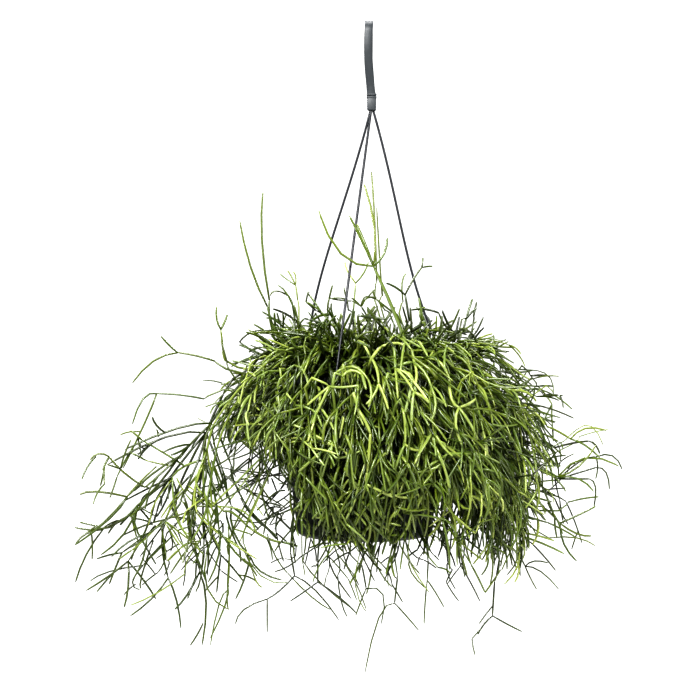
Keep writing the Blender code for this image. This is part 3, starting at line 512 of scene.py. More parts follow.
@dataclass(frozen=True)
class Mound:
    """The outside of the mass of stems, in sixteen equal steps round from the right-hand side."""

    reach: Row = (
        0.162, 0.158, 0.154, 0.148, 0.142, 0.136, 0.130, 0.126,
        0.124, 0.126, 0.128, 0.132, 0.138, 0.146, 0.156, 0.162)
    fringe_drop: Row = (
        0.150, 0.138, 0.118, 0.114, 0.114, 0.102, 0.080, 0.070,
        0.066, 0.070, 0.088, 0.138, 0.146, 0.116, 0.150, 0.158)
    tip_drop: Row = (
        0.182, 0.170, 0.146, 0.140, 0.138, 0.124, 0.100, 0.088,
        0.084, 0.088, 0.110, 0.158, 0.170, 0.138, 0.178, 0.190)
    draw_in: Row = (
        0.14, 0.15, 0.16, 0.17, 0.18, 0.20, 0.24, 0.28,
        0.30, 0.34, 0.38, 0.38, 0.34, 0.24, 0.18, 0.14)
    # painted shade: stems on the sides and the back are drawn darker than those in front
    side_shade: Row = (
        0.07, 0.07, 0.06, 0.05, 0.05, 0.06, 0.07, 0.07,
        0.07, 0.06, 0.03, 0.02, 0.03, 0.03, 0.03, 0.04)
    stoutness: Row = (
        0.80, 0.84, 0.88, 0.90, 0.90, 0.90, 0.88, 0.86,
        0.86, 0.90, 0.96, 1.05, 1.06, 1.04, 0.92, 0.84)
    waist: Row = (
        0.084, 0.080, 0.074, 0.066, 0.058, 0.052, 0.048, 0.046,
        0.054, 0.052, 0.050, 0.050, 0.050, 0.056, 0.066, 0.078)
    fullness: Row = (
        0.72, 0.78, 0.86, 0.94, 0.96, 0.96, 0.90, 0.76,
        0.68, 0.72, 0.86, 1.00, 1.00, 1.00, 0.92, 0.78)
    top: float = 0.047
    shoulder: float = 0.50
    width_power: float = 0.9
    height_power: float = 0.75
    crown_power: float = 0.42
    lowest: float = 1.2
    slope: float = 0.05
    heart: float = 0.05

    @staticmethod
    def around(values: Sequence[float], azimuth: float) -> float:
        """Eases between values that are stated in equal steps round the pot.

        Args:
            values: One value for each direction.
            azimuth: The direction asked for, in degrees.

        Returns:
            The value there.
        """
        place = (azimuth % 360.0) * len(values) / 360.0
        first = int(place) % len(values)
        share = place - int(place)
        ease = share * share * (3 - 2 * share)
        return values[first] * (1 - ease) + values[(first + 1) % len(values)] * ease

    def outline(self, azimuth: float, share: float) -> Pair:
        """Gives the outline's radius and height.

        Args:
            azimuth: The direction, in degrees.
            share: 0 at the crown, 1 at the lower fringe.

        Returns:
            Radius and height.
        """
        reach = self.around(self.reach, azimuth)
        waist = self.around(self.waist, azimuth)
        if share < self.shoulder:
            turn = math.radians(90 * max(share, 0.0) / self.shoulder)
            rise = (self.top + waist) * math.cos(turn) ** self.height_power
            return reach * math.sin(turn) ** self.width_power, rise - waist
        fall = (share - self.shoulder) / (1 - self.shoulder)
        drop = self.around(self.fringe_drop, azimuth) - waist
        return reach * (1 - self.around(self.draw_in, azimuth) * fall * fall), -waist - drop * fall

    def point(self, azimuth: float, share: float, depth: float) -> Vector:
        """Gives a point on the outline, or inside it.

        Args:
            azimuth: The direction, in degrees.
            share: 0 at the crown, 1 at the lower fringe.
            depth: 0 on the axis, 1 on the outline.

        Returns:
            The point.
        """
        radius, height = self.outline(azimuth, share)
        heart = -self.around(self.waist, azimuth)
        return polar(radius * depth, azimuth, heart + (height - heart) * depth if height > heart else height)

    def depth(self, point: Vector) -> float:
        """Gives how far out a point lies.

        Args:
            point: The point.

        Returns:
            0 on the axis at the mound's widest level, 1 on its outline.
        """
        azimuth = azimuth_of(point)
        reach = self.around(self.reach, azimuth)
        waist = self.around(self.waist, azimuth)
        radius = math.hypot(point.x, point.y) / reach
        above = point.z + waist
        if above > 0:
            rise = above / (self.top + waist)
            return (radius ** (2 / self.width_power) + rise ** (2 / self.height_power)) ** self.crown_power
        fall = min(-above / (self.around(self.fringe_drop, azimuth) - waist), self.lowest)
        return radius / (1 - self.around(self.draw_in, azimuth) * fall * fall)

    def fitted(self, point: Vector, low: float, high: float) -> Vector:
        """Moves a point until it lies far enough out in the mound, and no further.

        Args:
            point: The point.
            low: The least depth.
            high: The greatest depth.

        Returns:
            The point where it may be.
        """
        depth = self.depth(point)
        if not low <= depth <= high:
            heart = Vector((0, 0, min(point.z, -self.around(self.waist, azimuth_of(point)))))
            point = heart + (point - heart) * min(max(depth, low), high) / max(depth, self.heart)
        return point

    def too_low(self, point: Vector) -> bool:
        """Says whether a point lies below the lowest tips."""
        return point.z < -self.around(self.tip_drop, azimuth_of(point))

    def outward_at(self, point: Vector) -> Vector:
        """Gives the direction that points straight out of the mound.

        Args:
            point: Where.

        Returns:
            The direction, of unit length.
        """
        step = 0.002
        here = self.depth(point)
        return Vector([self.depth(point + axis * step) - here for axis in Matrix.Identity(3)]).normalized()

    def downhill(self, point: Vector, out: Vector) -> Vector:
        """Gives the direction down the mound's side, which is away from the axis on its crown.

        Args:
            point: Where.
            out: The direction straight out of the mound there.

        Returns:
            The direction, of unit length.
        """
        fall = Vector((point.x, point.y, -self.slope))
        if point.z > -self.around(self.waist, azimuth_of(point)):
            return (fall - out * fall.dot(out)).normalized()
        return (-UP + out * out.z).normalized()

    def speed(self, azimuth: float, share: float) -> float:
        """Gives how far the outline runs for a whole share, at the rate that it has at this place."""
        step = 0.01
        return (self.point(azimuth, share + step, 1) - self.point(azimuth, share, 1)).length / step

    def area(self, azimuth: float, width: float) -> float:
        """Gives the area of a part of the outline's surface.

        Args:
            azimuth: The azimuth of its middle.
            width: The angle that it covers, in degrees.

        Returns:
            The area in square metres.
        """
        steps = 24
        shares = [(i + 0.5) / steps for i in range(steps)]
        bands = sum(self.outline(azimuth, share)[0] * self.speed(azimuth, share) for share in shares)
        return bands * math.radians(width) / steps


@dataclass(frozen=True)
class Strands:
    """Where the three strands run, in the pot's frame."""

    top: Vector
    circle: float = 0.086
    azimuths: Row = (132.0, 252.0, 12.0)
    bundle_radius: float = 0.00175
    bows: Row = (-0.0090, 0.0, -0.0090)
    bow_low: float = 1.7
    front: int = 1

    def centre(self, index: int, height: float) -> Vector:
        """Gives where a strand's centre line is.

        Args:
            index: Which strand.
            height: The height above the rim.

        Returns:
            The point.
        """
        azimuth = self.azimuths[index]
        start = Vector((self.top.x, self.top.y, 0)) + polar(self.bundle_radius, azimuth, 0)
        share = min(max(1 - height / self.top.z, 0.0), 1.0)
        point = start.lerp(polar(self.circle, azimuth, 0), share)
        point.x += self.bows[index] * math.sin(math.pi * share ** self.bow_low)
        point.z = height
        return point


# Shoots that are placed one by one


@dataclass(frozen=True)
class Shoot:
    """A stem by the spots where it shows, with the shoots that leave its end.

    A spot has two or three numbers in millimetres: right of the plant's middle, above the rim, and forward.
    """

    spots: tuple[Row, ...]
    twigs: tuple[Shoot, ...] = ()
    age: float = 0.5
    stout: float = 1.0
    lateral: bool = False

    @property
    def flat(self) -> bool:
        """Says whether its spots have no number for how far forward they lie."""
        return len(self.spots[0]) == 2


def shoot(size: int, age: float, stout: float, *row: float | tuple) -> Shoot:
    """Makes a shoot from a row of numbers.

    Args:
        size: How many numbers a spot has.
        age: 0 for new growth, 1 for the oldest; higher values also stand for painted shade.
        stout: How thick it is, as a share of a plain stem.
        row: The numbers of its spots in turn, and then a row for each shoot that leaves its end.

    Returns:
        The shoot.
    """
    numbers = [item for item in row if not isinstance(item, tuple)]
    twigs = tuple(shoot(size, age, stout, *item) for item in row if isinstance(item, tuple))
    return Shoot(tuple(zip(*(numbers[i::size] for i in range(size)))), twigs, age, stout)


def beside(forward: float, age: float, stout: float, *numbers: float) -> Shoot:
    """Makes a bare shoot that leaves the side of another one at its first spot.

    Args:
        forward: How far forward of the axis it lies.
        age: 0 for new growth, 1 for the oldest; higher values also stand for painted shade.
        stout: How thick it is, as a share of a plain stem.
        numbers: Its spots' first two numbers in turn.

    Returns:
        The shoot.
    """
    spots = tuple((right, up, forward) for right, up in zip(numbers[::2], numbers[1::2]))
    return Shoot(spots, (), age, stout, lateral=True)


# A row is a shoot's age with painted shade, its stoutness and its spots' numbers. The rows inside it are its
# twigs' spots.
SHOOTS = (
    # tall pair on the left shoulder
    (0.6, 1, -84, 38, 22, -88, 72, 22, -95, 128, 22, -94, 174, 24),
    (0.62, 1, -80, 36, 30, -90, 66, 31, -106, 104, 33, -116, 147, 34),
    # the thick stem with a fan of five twigs, in front of the strands
    (0.56, 1.45, 71, -2, 128, 44, 20, 112, 34, 52, 92, 11, 104, 60, (-20, 116, 62, -41, 157, 66),
     (0, 128, 60, -12, 152, 62), (3, 125, 55, -5, 144, 50), (12, 140, 56, 2, 182, 52), (21, 116, 56,
     24, 131, 54)),
    # dark forked shoots right of the middle
    (0.85, 1, 46, 30, 28, 45, 52, 28, 41, 77, 26, (32, 84, 26, 23, 88, 28), (49, 92, 24, 57, 103, 22,
     (58, 112, 20), (67, 104, 20))),
    (0.5, 1, 64, 31, 40, 57, 52, 38, 55, 61, 36, 60, 65, 34),
    # thin stems that stand up among the strands
    (0.7, 0.9, 40, 46, 30, 32, 58, 30, 22, 66, 30, 13, 73, 30, (10, 81, 32), (5, 74, 28, 0, 66, 26)),
    (0.5, 0.8, 41, 40, 22, 39, 70, 22, 38, 88, 22, 42, 97, 22),
    (0.8, 0.85, -34, 44, 40, -33, 62, 40, -31, 74, 40, (-28, 86, 42), (-22, 72, 44, -9, 71, 46,
     -1, 66, 46)),
    (0.6, 0.8, -58, 40, 30, -62, 55, 30, -70, 76, 30, -80, 86, 30),
    (0.6, 0.9, -20, 40, 44, -28, 47, 44, -39, 61, 44, (-54, 71, 44), (-52, 79, 40)),
    (0.7, 0.95, -66, 38, 34, -74, 46, 36, -95, 61, 40),
    (0.7, 0.9, -70, 30, 40, -89, 40, 42, -103, 49, 44),
    # right shoulder
    (0.7, 1, 90, 26, 20, 96, 42, 20, 99, 54, 18, (102, 64, 16, 105, 73, 14), (104, 60, 22, 109, 64, 24)),
    # left shoulder
    (0.55, 1, -118, 8, 26, -132, 24, 28, -134, 44, 28, (-138, 54, 30, -138, 66, 32), (-130, 52, 24,
     -128, 58, 22)),
    # back of the crown, whose pale tips show over it
    (0.3, 0.75, -6, 30, -40, -8, 62, -42, -6, 88, -44, (-14, 100, -50, -16, 108, -52), (2, 98, -40,
     6, 108, -38)),
    # two long twigs that fork away to the left, high up
    (0.65, 1, -112, 2, 34, -140, 14, 36, -175, 22, 38, (-184, 30, 40, -191, 38, 42), (-198, 14, 38,
     -218, -7, 36)),
    (0.6, 0.9, -112, -16, 44, -150, -22, 48, -195, -17, 52, (-208, -22, 56, -218, -46, 60),
     (-206, -44, 50, -227, -88, 46)),
    # the wing: a main stem, its whorl, and the whorls that hang from that one
    (0.92, 1.1, -108, 6, 28, -132, -18, 34, -148, -54, 40, (-186, -58, 46, -241, -84, 52), (-176, -88, 44,
     -196, -118, 48, (-220, -132, 50, -246, -146, 54, (-262, -150, 58, -272, -160, 62), (-262, -170, 52,
     -272, -196, 50)), (-206, -148, 46, -222, -176, 44, (-240, -190, 40, -262, -204, 38), (-222, -200, 50,
     -226, -220, 54), (-206, -196, 42, -196, -212, 40))), (-168, -92, 36, -186, -136, 34, (-190, -160, 34,
     -184, -192, 36, (-200, -212, 40, -220, -228, 44), (-176, -214, 34, -172, -240, 32)), (-206, -152, 30,
     -228, -168, 26, (-252, -174, 22), (-240, -198, 30))), (-152, -90, 30, -158, -128, 28,
     (-160, -150, 28, -154, -186, 30, (-166, -208, 34, -178, -222, 38), (-148, -216, 30, -152, -256, 28)),
     (-146, -146, 24, -134, -170, 22, (-112, -196, 22), (-138, -206, 16))), (-136, -86, 46,
     -124, -124, 50, (-122, -148, 52, -106, -172, 56, (-96, -186, 58, -76, -194, 60), (-112, -194, 54,
     -120, -212, 52)), (-98, -146, 42)), (-156, -82, 56, -170, -112, 62, (-180, -132, 66, -204, -150, 72,
     (-222, -158, 76, -238, -172, 80), (-208, -174, 72, -218, -194, 72)), (-164, -134, 62, -162, -160, 64,
     (-182, -188, 64), (-148, -196, 60)))),
    # long forked twigs that hang below the pot
    (0.94, 0.75, -66, -140, 62, -68, -168, 64, -64, -190, 66, (-78, -204, 68, -90, -212, 70,
     (-112, -222, 72, -120, -236, 72), (-90, -244, 70)), (-44, -204, 66, -22, -232, 66)),
    (0.95, 0.75, -40, -150, 92, -42, -176, 90, -42, -196, 88, (-56, -206, 88, -68, -214, 88),
     (-22, -210, 86, -5, -226, 86)),
    (0.88, 0.7, -17, -150, 90, 0, -180, 88, 4, -202, 86, (-6, -228, 86), (20, -208, 86, 18, -236, 86)),
    (0.85, 0.7, 30, -150, 88, 34, -190, 86, 31, -216, 84, (16, -230, 84, 3, -282, 82), (42, -228, 84,
     54, -242, 84)),
    (0.8, 0.7, 62, -150, 76, 63, -176, 74, 62, -194, 72, (60, -216, 72, 59, -236, 72), (70, -206, 70,
     78, -220, 68)),
    (0.88, 0.8, 128, -150, 56, 126, -196, 54, 124, -228, 52, (116, -236, 52, 110, -246, 52),
     (138, -236, 52, 152, -243, 52)),
    # right side: whorls that reach out and hang over
    (0.55, 1, 150, -70, 34, 168, -88, 32, 186, -96, 30, (206, -86, 30, 222, -66, 30), (212, -78, 26,
     244, -86, 24), (206, -98, 34, 220, -110, 38)),
    (0.5, 1, 150, -40, 30, 176, -48, 26, 198, -60, 22, (212, -50, 20, 232, -52, 18), (212, -66, 24,
     226, -78, 26)),
    (0.7, 1, 150, -110, 40, 174, -126, 38, 188, -140, 36, (206, -132, 36, 222, -124, 36), (204, -150, 34,
     218, -152, 32), (192, -160, 40, 204, -176, 44)),
    # thinner shoots that show against the light over the crown
    (0.42, 0.7, -60, 50, -10, -61, 72, -12, -63, 86, -14, (-72, 92, -16, -78, 97, -16), (-68, 96, -16,
     -71, 100, -16), (-63, 95, -14, -66, 99, -14)),
    (0.8, 0.8, -64, 55, 20, -70, 76, 22, -78, 80, 24, (-84, 80, 24, -87, 76, 24)),
    (0.9, 0.9, -30, 44, 40, -44, 62, 42, -53, 70, 44, (-52, 76, 44, -50, 80, 44)),
    (0.7, 0.7, -33, 52, 30, -33, 66, 30, -28, 86, 30),
    (0.85, 0.8, -8, 50, 46, -13, 62, 46, -14, 72, 46, (-22, 74, 46, -31, 73, 46), (-16, 78, 46,
     -17, 84, 46)),
    (0.85, 0.85, 7, 46, 40, 4, 58, 40, -1, 66, 40, (2, 74, 40, 6, 75, 40, (14, 74, 40), (12, 82, 40)),
     (-6, 71, 40, -10, 74, 40)),
    (0.55, 0.8, 18, 52, 20, 14, 90, 10, 12, 148, 4, 9, 194, 0),
    (0.55, 0.75, 22, 52, -20, 20, 76, -20, 18, 92, -20, 14, 160, -22),
    (0.7, 0.8, 30, 50, 50, 22, 62, 52, 14, 73, 52),
    (0.5, 1, 64, 28, 60, 58, 52, 60, 54, 74, 58),
    (0.75, 0.8, -118, -6, 40, -128, 12, 40, -134, 33, 38),
    (0.85, 0.9, 104, 40, 16, 106, 56, 14, 109, 70, 12),
    (0.85, 0.8, 92, 40, 30, 98, 54, 28, 109, 64, 26),
    # right side
    (0.9, 1.1, 140, -4, 20, 160, 0, 18, 177, 0, 16),
    (0.85, 0.9, 150, -14, 24, 166, -10, 20, 182, -10, 18),
    (0.9, 0.8, 150, -24, 10, 172, -18, 6, 191, -19, 4),
    (0.5, 0.7, 160, -20, 30, 182, -18, 26, 200, -32, 24),
    (0.92, 1, 150, -66, 20, 184, -68, 16, 216, -62, 12, (222, -66, 12, 226, -74, 12)),
    (0.92, 0.85, 152, -84, 20, 172, -92, 16, 187, -98, 14, (206, -82, 12, 222, -77, 10, (238, -76, 8,
     247, -89, 6), (224, -86, 12, 222, -98, 14)), (206, -92, 16, 223, -87, 16, (232, -92, 16,
     235, -108, 16)), (204, -98, 18, 216, -98, 18, (222, -106, 18, 220, -126, 18))),
    (0.4, 0.55, 176, -70, 10, 194, -60, 8, 204, -51, 6, (218, -48, 4, 229, -66, 2)),
    (0.3, 0.5, 186, -72, 0, 206, -58, -4, 234, -51, -8),
    (0.85, 0.7, 170, -110, 10, 194, -120, 8, 202, -138, 6, 209, -159, 4),
    (0.6, 0.8, 168, -128, 30, 196, -120, 28, 225, -115, 26),
    (0.6, 0.65, 150, -136, 20, 178, -154, 18, 204, -154, 16, 222, -162, 14),
    (0.35, 1, 130, -136, 50, 150, -152, 50, 192, -169, 48),
    (0.8, 0.75, 132, -148, 30, 148, -168, 28, 155, -181, 26, (170, -186, 26, 187, -203, 26),
     (160, -192, 26, 166, -203, 26), (164, -176, 24, 177, -178, 24)),
    (0.85, 0.8, 140, -140, 10, 160, -158, 8, 184, -185, 4),
    # long stems that arch over the left shoulder into the wing
    (0.32, 1, -54, 28, 74, -88, 14, 78, -118, -14, 76, -142, -48, 72, -150, -84, 66, (-158, -104, 66,
     -160, -132, 68), (-150, -110, 64, -142, -138, 62)),
    (0.42, 1, -62, 20, 66, -96, 2, 70, -122, -30, 70, -138, -70, 66, -146, -112, 64, (-150, -134, 64,
     -164, -160, 66), (-146, -138, 62, -134, -166, 60)),
    (0.85, 1.15, -70, 22, 50, -100, 8, 54, -126, -20, 56, -143, -45, 56, (-176, -50, 60, -225, -70, 66),
     (-160, -62, 58, -173, -76, 58, (-200, -94, 60, -223, -115, 62, (-252, -110, 66, -268, -113, 70),
     (-240, -136, 62, -273, -161, 64), (-246, -140, 58, -262, -150, 56)), (-194, -104, 54, -213, -123, 52,
     (-240, -144, 50, -273, -144, 50), (-226, -150, 50, -248, -170, 50), (-216, -140, 54,
     -206, -160, 56)), (-190, -92, 64, -206, -106, 68, (-226, -92, 72, -240, -77, 76, (-250, -74, 78,
     -258, -80, 80), (-244, -84, 78, -246, -90, 80)))), (-150, -66, 60, -148, -82, 62, (-152, -112, 66,
     -170, -140, 70), (-140, -112, 64, -136, -146, 66, (-120, -168, 66, -104, -182, 66), (-136, -170, 68,
     -146, -196, 70)))),
    # under the wing
    (0.88, 0.75, -166, -130, 40, -186, -156, 40, -208, -180, 40, (-218, -196, 40, -211, -203, 40),
     (-240, -186, 40, -258, -195, 40)),
    (0.3, 0.7, -150, -150, 50, -168, -188, 50, -194, -206, 50, -220, -218, 50),
    (0.55, 0.75, -120, -140, 44, -126, -170, 42, -128, -204, 40, (-136, -218, 40, -144, -256, 40),
     (-128, -214, 40, -127, -222, 40)),
    (0.5, 0.7, -106, -130, 60, -112, -160, 60, -104, -186, 60, (-100, -196, 60, -95, -201, 60)),
    (0.3, 0.6, -100, -120, 50, -116, -158, 50, -96, -190, 54, -70, -196, 58),
    # under the pot
    (0.8, 0.65, -30, -130, 96, -24, -168, 94, -8, -192, 92, 4, -222, 90),
    (0.5, 0.55, -12, -140, 92, -2, -168, 90, -6, -200, 88, 4, -224, 86),
    (0.8, 0.65, -52, -140, 70, -56, -176, 70, -38, -198, 70, -8, -222, 70),
    (0.35, 0.6, 46, -130, 90, 44, -164, 90, 47, -180, 88, 64, -206, 86),
    (0.5, 0.85, 96, -150, 70, 104, -180, 68, 117, -206, 64, (124, -196, 62, 132, -184, 60)),
    (0.9, 0.7, 80, -160, 60, 86, -184, 58, 80, -196, 56, (86, -206, 56, 92, -214, 56)),
    (0.92, 0.7, 92, -160, 50, 96, -184, 48, 112, -214, 44),
)

# The stems that cross between the wing's main ones, and those between the wing and the pot. A row is how far
# forward a shoot lies, its age with painted shade, its stoutness and the numbers of its spots.
SIDE_SHOOTS = (
    (50, 0.35, 1.1, -145, -79, -167, -85, -180, -96),
    (50, 0.5, 0.9, -179, -86, -194, -83, -206, -80, -220, -73),
    (54, 0.5, 1, -169, -86, -177, -80, -209, -61, -220, -52),
    (50, 0.55, 0.8, -195, -86, -212, -102, -226, -118),
    (52, 0.5, 0.8, -203, -106, -212, -102, -230, -89),
    (46, 0.8, 1.25, -180, -96, -204, -115, -213, -124, -221, -132, -230, -142),
    (44, 0.9, 0.9, -180, -96, -203, -107, -226, -119),
    (44, 0.9, 1, -180, -97, -190, -115, -195, -130, -198, -140),
    (42, 0.9, 1, -180, -99, -186, -118, -195, -134),
    (58, 0.28, 0.85, -180, -96, -179, -119, -176, -133, -172, -144, -161, -158, -154, -166),
    (54, 0.35, 0.85, -170, -107, -180, -119, -191, -135),
    (52, 0.45, 0.85, -168, -108, -177, -119, -187, -136),
    (52, 0.3, 0.8, -188, -137, -180, -151, -173, -161),
    (52, 0.35, 0.75, -188, -137, -175, -148),
    (50, 0.55, 0.9, -188, -137, -173, -132, -161, -128),
    (54, 0.4, 0.85, -190, -138, -206, -155, -219, -166, -230, -174),
    (44, 0.9, 1.1, -196, -142, -201, -148, -210, -158),
    (44, 0.9, 0.8, -188, -141, -194, -149, -211, -172),
    (46, 0.6, 0.8, -191, -142, -188, -158, -186, -174),
    (46, 0.6, 1.2, -146, -82, -164, -104, -168, -112),
    (42, 0.85, 1.2, -146, -82, -158, -105, -161, -128),
    (42, 0.85, 1, -145, -82, -150, -105, -151, -137, -150, -156),
    (44, 0.7, 0.8, -144, -82, -141, -110, -138, -118),
    (46, 0.6, 0.9, -143, -80, -136, -96, -131, -111),
    (60, 0.28, 0.8, -166, -104, -151, -115, -142, -124),
    (54, 0.5, 0.9, -166, -108, -158, -115, -148, -123, -142, -125),
    (52, 0.6, 0.8, -142, -125, -159, -124),
    (64, 0.28, 0.75, -158, -129, -150, -138, -134, -152, -119, -162, -100, -174),
    (44, 0.85, 0.8, -161, -128, -161, -136, -157, -143, -150, -155),
    (46, 0.6, 0.8, -151, -141, -170, -145, -175, -148),
    (50, 0.4, 0.8, -161, -158, -154, -166, -161, -179),
    (46, 0.85, 0.8, -150, -154, -146, -162, -146, -180),
    (50, 0.4, 0.8, -155, -157, -164, -159, -174, -165, -185, -176),
    (44, 0.9, 0.7, -173, -160, -178, -162, -196, -174),
    (46, 0.6, 0.8, -180, -152, -190, -162, -204, -176),
    (44, 0.7, 0.8, -219, -132, -217, -142, -213, -157, -219, -175),
    (46, 0.4, 0.7, -213, -125, -216, -140, -217, -146),
    (44, 0.9, 1, -212, -125, -204, -134, -199, -142),
    (44, 0.85, 0.9, -199, -142, -206, -142, -230, -153),
    (46, 0.6, 0.7, -212, -125, -197, -133),
    (56, 0.35, 0.6, -181, -99, -197, -121, -200, -133, -203, -142),
    (42, 0.9, 0.8, -180, -97, -176, -116, -179, -130),
    (58, 0.3, 0.7, -176, -97, -173, -103, -167, -113, -162, -119),
    (50, 0.55, 0.8, -173, -117, -166, -127, -166, -142),
    (66, 0.32, 0.9, -95, -77, -106, -88, -122, -104, -142, -124),
    (46, 0.85, 1, -137, -53, -133, -63, -124, -85, -122, -99, -110, -123, -96, -139, -81, -152),
    (42, 0.8, 0.9, -142, -51, -140, -66, -134, -85, -129, -102, -129, -116),
    (46, 0.55, 0.8, -143, -81, -138, -96, -134, -110),
    (36, 0.9, 0.9, -118, -103, -102, -113, -91, -120, -77, -124),
    (46, 0.9, 1.1, -115, -116, -104, -133, -91, -144, -81, -155),
    (30, 1, 0.9, -107, -104, -90, -96, -73, -92),
    (30, 0.95, 0.8, -91, -96, -94, -105, -94, -118),
    (30, 0.95, 0.8, -86, -97, -81, -110),
    (34, 0.8, 0.9, -73, -109, -82, -111, -92, -121, -100, -128),
    (32, 0.9, 0.7, -104, -111, -88, -116, -72, -126),
    (30, 0.95, 0.8, -93, -133, -87, -125, -75, -126),
    (30, 0.95, 0.8, -96, -137, -89, -135, -85, -130),
    (30, 0.9, 0.7, -77, -126, -88, -142),
    (32, 0.9, 0.6, -87, -142, -72, -136),
    (32, 0.9, 0.7, -74, -130, -83, -146),
    (62, 0.28, 0.8, -142, -124, -119, -126, -107, -134, -100, -150),
    (58, 0.5, 1.1, -132, -129, -123, -130, -110, -142, -91, -154, -76, -158, -61, -162),
    (50, 0.5, 0.8, -123, -145, -113, -148, -104, -151),
    (46, 0.8, 0.9, -129, -129, -126, -143, -116, -166, -115, -177),
    (60, 0.35, 0.5, -113, -97, -107, -107, -100, -124, -94, -133),
    (50, 0.6, 0.8, -107, -103, -125, -114, -142, -124),
    (60, 0.85, 0.8, -63, -142, -74, -154, -83, -167),
    (52, 0.7, 0.7, -91, -154, -87, -163, -85, -175),
    (48, 0.6, 0.85, -127, -143, -126, -170, -127, -199, -130, -218, -144, -249),
    (50, 0.6, 0.8, -147, -165, -147, -202, -126, -222),
    (48, 0.8, 0.8, -150, -156, -153, -191, -158, -204),
    (46, 0.85, 0.7, -186, -165, -188, -177, -194, -187, -209, -199),
    (44, 0.85, 0.8, -198, -156, -209, -189, -210, -202),
    (44, 0.9, 0.7, -209, -173, -196, -189),
    # the tangle in the middle of the wing
    (44, 0.35, 0.75, -187, -137, -179, -147, -174, -156, -165, -168),
    (46, 0.3, 0.8, -187, -137, -174, -148, -165, -155, -154, -166, -150, -170),
    (50, 0.3, 0.7, -178, -119, -172, -142, -165, -150, -155, -162),
    (52, 0.35, 0.75, -156, -128, -147, -138, -134, -151, -116, -163),
    (36, 0.95, 0.8, -160, -135, -155, -146, -150, -156),
    (34, 0.92, 0.8, -166, -130, -165, -143, -164, -148, -158, -156),
    (36, 0.95, 0.8, -151, -140, -149, -148, -148, -159, -146, -168, -147, -190),
    (38, 0.8, 0.8, -134, -138, -132, -148, -138, -162, -143, -172, -148, -188),
    (34, 0.97, 0.65, -134, -150, -142, -158, -150, -164, -164, -176, -172, -185),
    (42, 0.6, 0.7, -131, -140, -140, -151, -146, -159, -155, -166),
    (44, 0.5, 0.8, -160, -158, -168, -160, -174, -166, -183, -175),
    (36, 0.92, 0.65, -158, -163, -163, -167, -168, -174, -168, -188, -170, -200),
    (40, 0.9, 0.7, -189, -148, -188, -165, -186, -175, -183, -178, -188, -190),
    (44, 0.45, 0.7, -183, -146, -180, -155, -174, -166, -171, -175),
    (36, 0.95, 0.65, -183, -146, -180, -159, -182, -167),
    (38, 0.92, 0.7, -178, -140, -172, -155, -170, -160),
    (36, 0.88, 0.75, -160, -145, -154, -155, -154, -162),
    (36, 0.95, 0.6, -166, -170, -162, -175, -156, -179, -152, -182),
    (36, 0.9, 0.6, -150, -164, -150, -172, -152, -185, -154, -195, -158, -206),
    (38, 0.95, 0.65, -146, -167, -140, -176, -134, -185, -127, -190, -118, -196),
    (34, 0.85, 0.7, -134, -137, -144, -145, -149, -154),
    # thin dark stems that hang from the fringe under the pot
    (80, 0.95, 0.75, -43, -138, -39, -152, -31, -172, -27, -187, -10, -212),
    (82, 0.7, 0.6, -31, -172, -23, -181, -13, -193, -5, -213),
    (82, 0.85, 0.65, -27, -160, -21, -179, -23, -189, -20, -213, -14, -229),
    (84, 0.9, 0.6, -19, -145, -17, -172, -9, -187, -3, -199),
    (70, 0.7, 0.5, -57, -142, -57, -167, -56, -179, -54, -190),
    (76, 0.75, 0.5, -31, -172, -31, -182, -34, -191, -36, -201),
    (88, 0.95, 0.65, -10, -145, -2, -167, 4, -178, 8, -187, 12, -195),
    (86, 0.8, 0.6, -4, -142, 1, -170, 6, -182, 10, -191),
    (84, 0.97, 0.7, 19, -140, 17, -160, 15, -173, 14, -187),
    (80, 0.97, 0.65, 36, -145, 34, -167, 26, -172, 18, -178),
    (80, 0.9, 0.65, 34, -162, 33, -170, 28, -180, 21, -195),
    (80, 0.7, 0.5, 28, -180, 25, -185, 25, -201),
    (82, 0.9, 0.55, 28, -180, 30, -189, 34, -193),
    (84, 0.6, 0.7, 38, -138, 41, -155, 45, -173, 47, -187, 61, -202),
    (78, 0.97, 0.65, 40, -148, 46, -167, 59, -175, 71, -183),
    (76, 0.95, 0.6, 64, -145, 61, -161, 55, -172, 52, -181),
    (74, 0.8, 0.6, 60, -142, 63, -161, 68, -170, 73, -175),
    (66, 0.95, 0.7, 86, -140, 84, -161, 83, -175, 81, -186, 89, -203),
    (66, 0.95, 0.6, 96, -150, 97, -170, 92, -183, 81, -198),
    (78, 0.97, 0.7, -34, -142, -40, -158, -57, -171, -70, -181, -83, -186),
    (80, 0.97, 0.65, -8, -142, -14, -157, -25, -166, -37, -178),
    (64, 0.7, 0.65, -90, -150, -82, -172, -70, -188, -48, -210, -30, -222),
    (60, 0.95, 0.6, -66, -150, -63, -171, -76, -173, -87, -178),
)

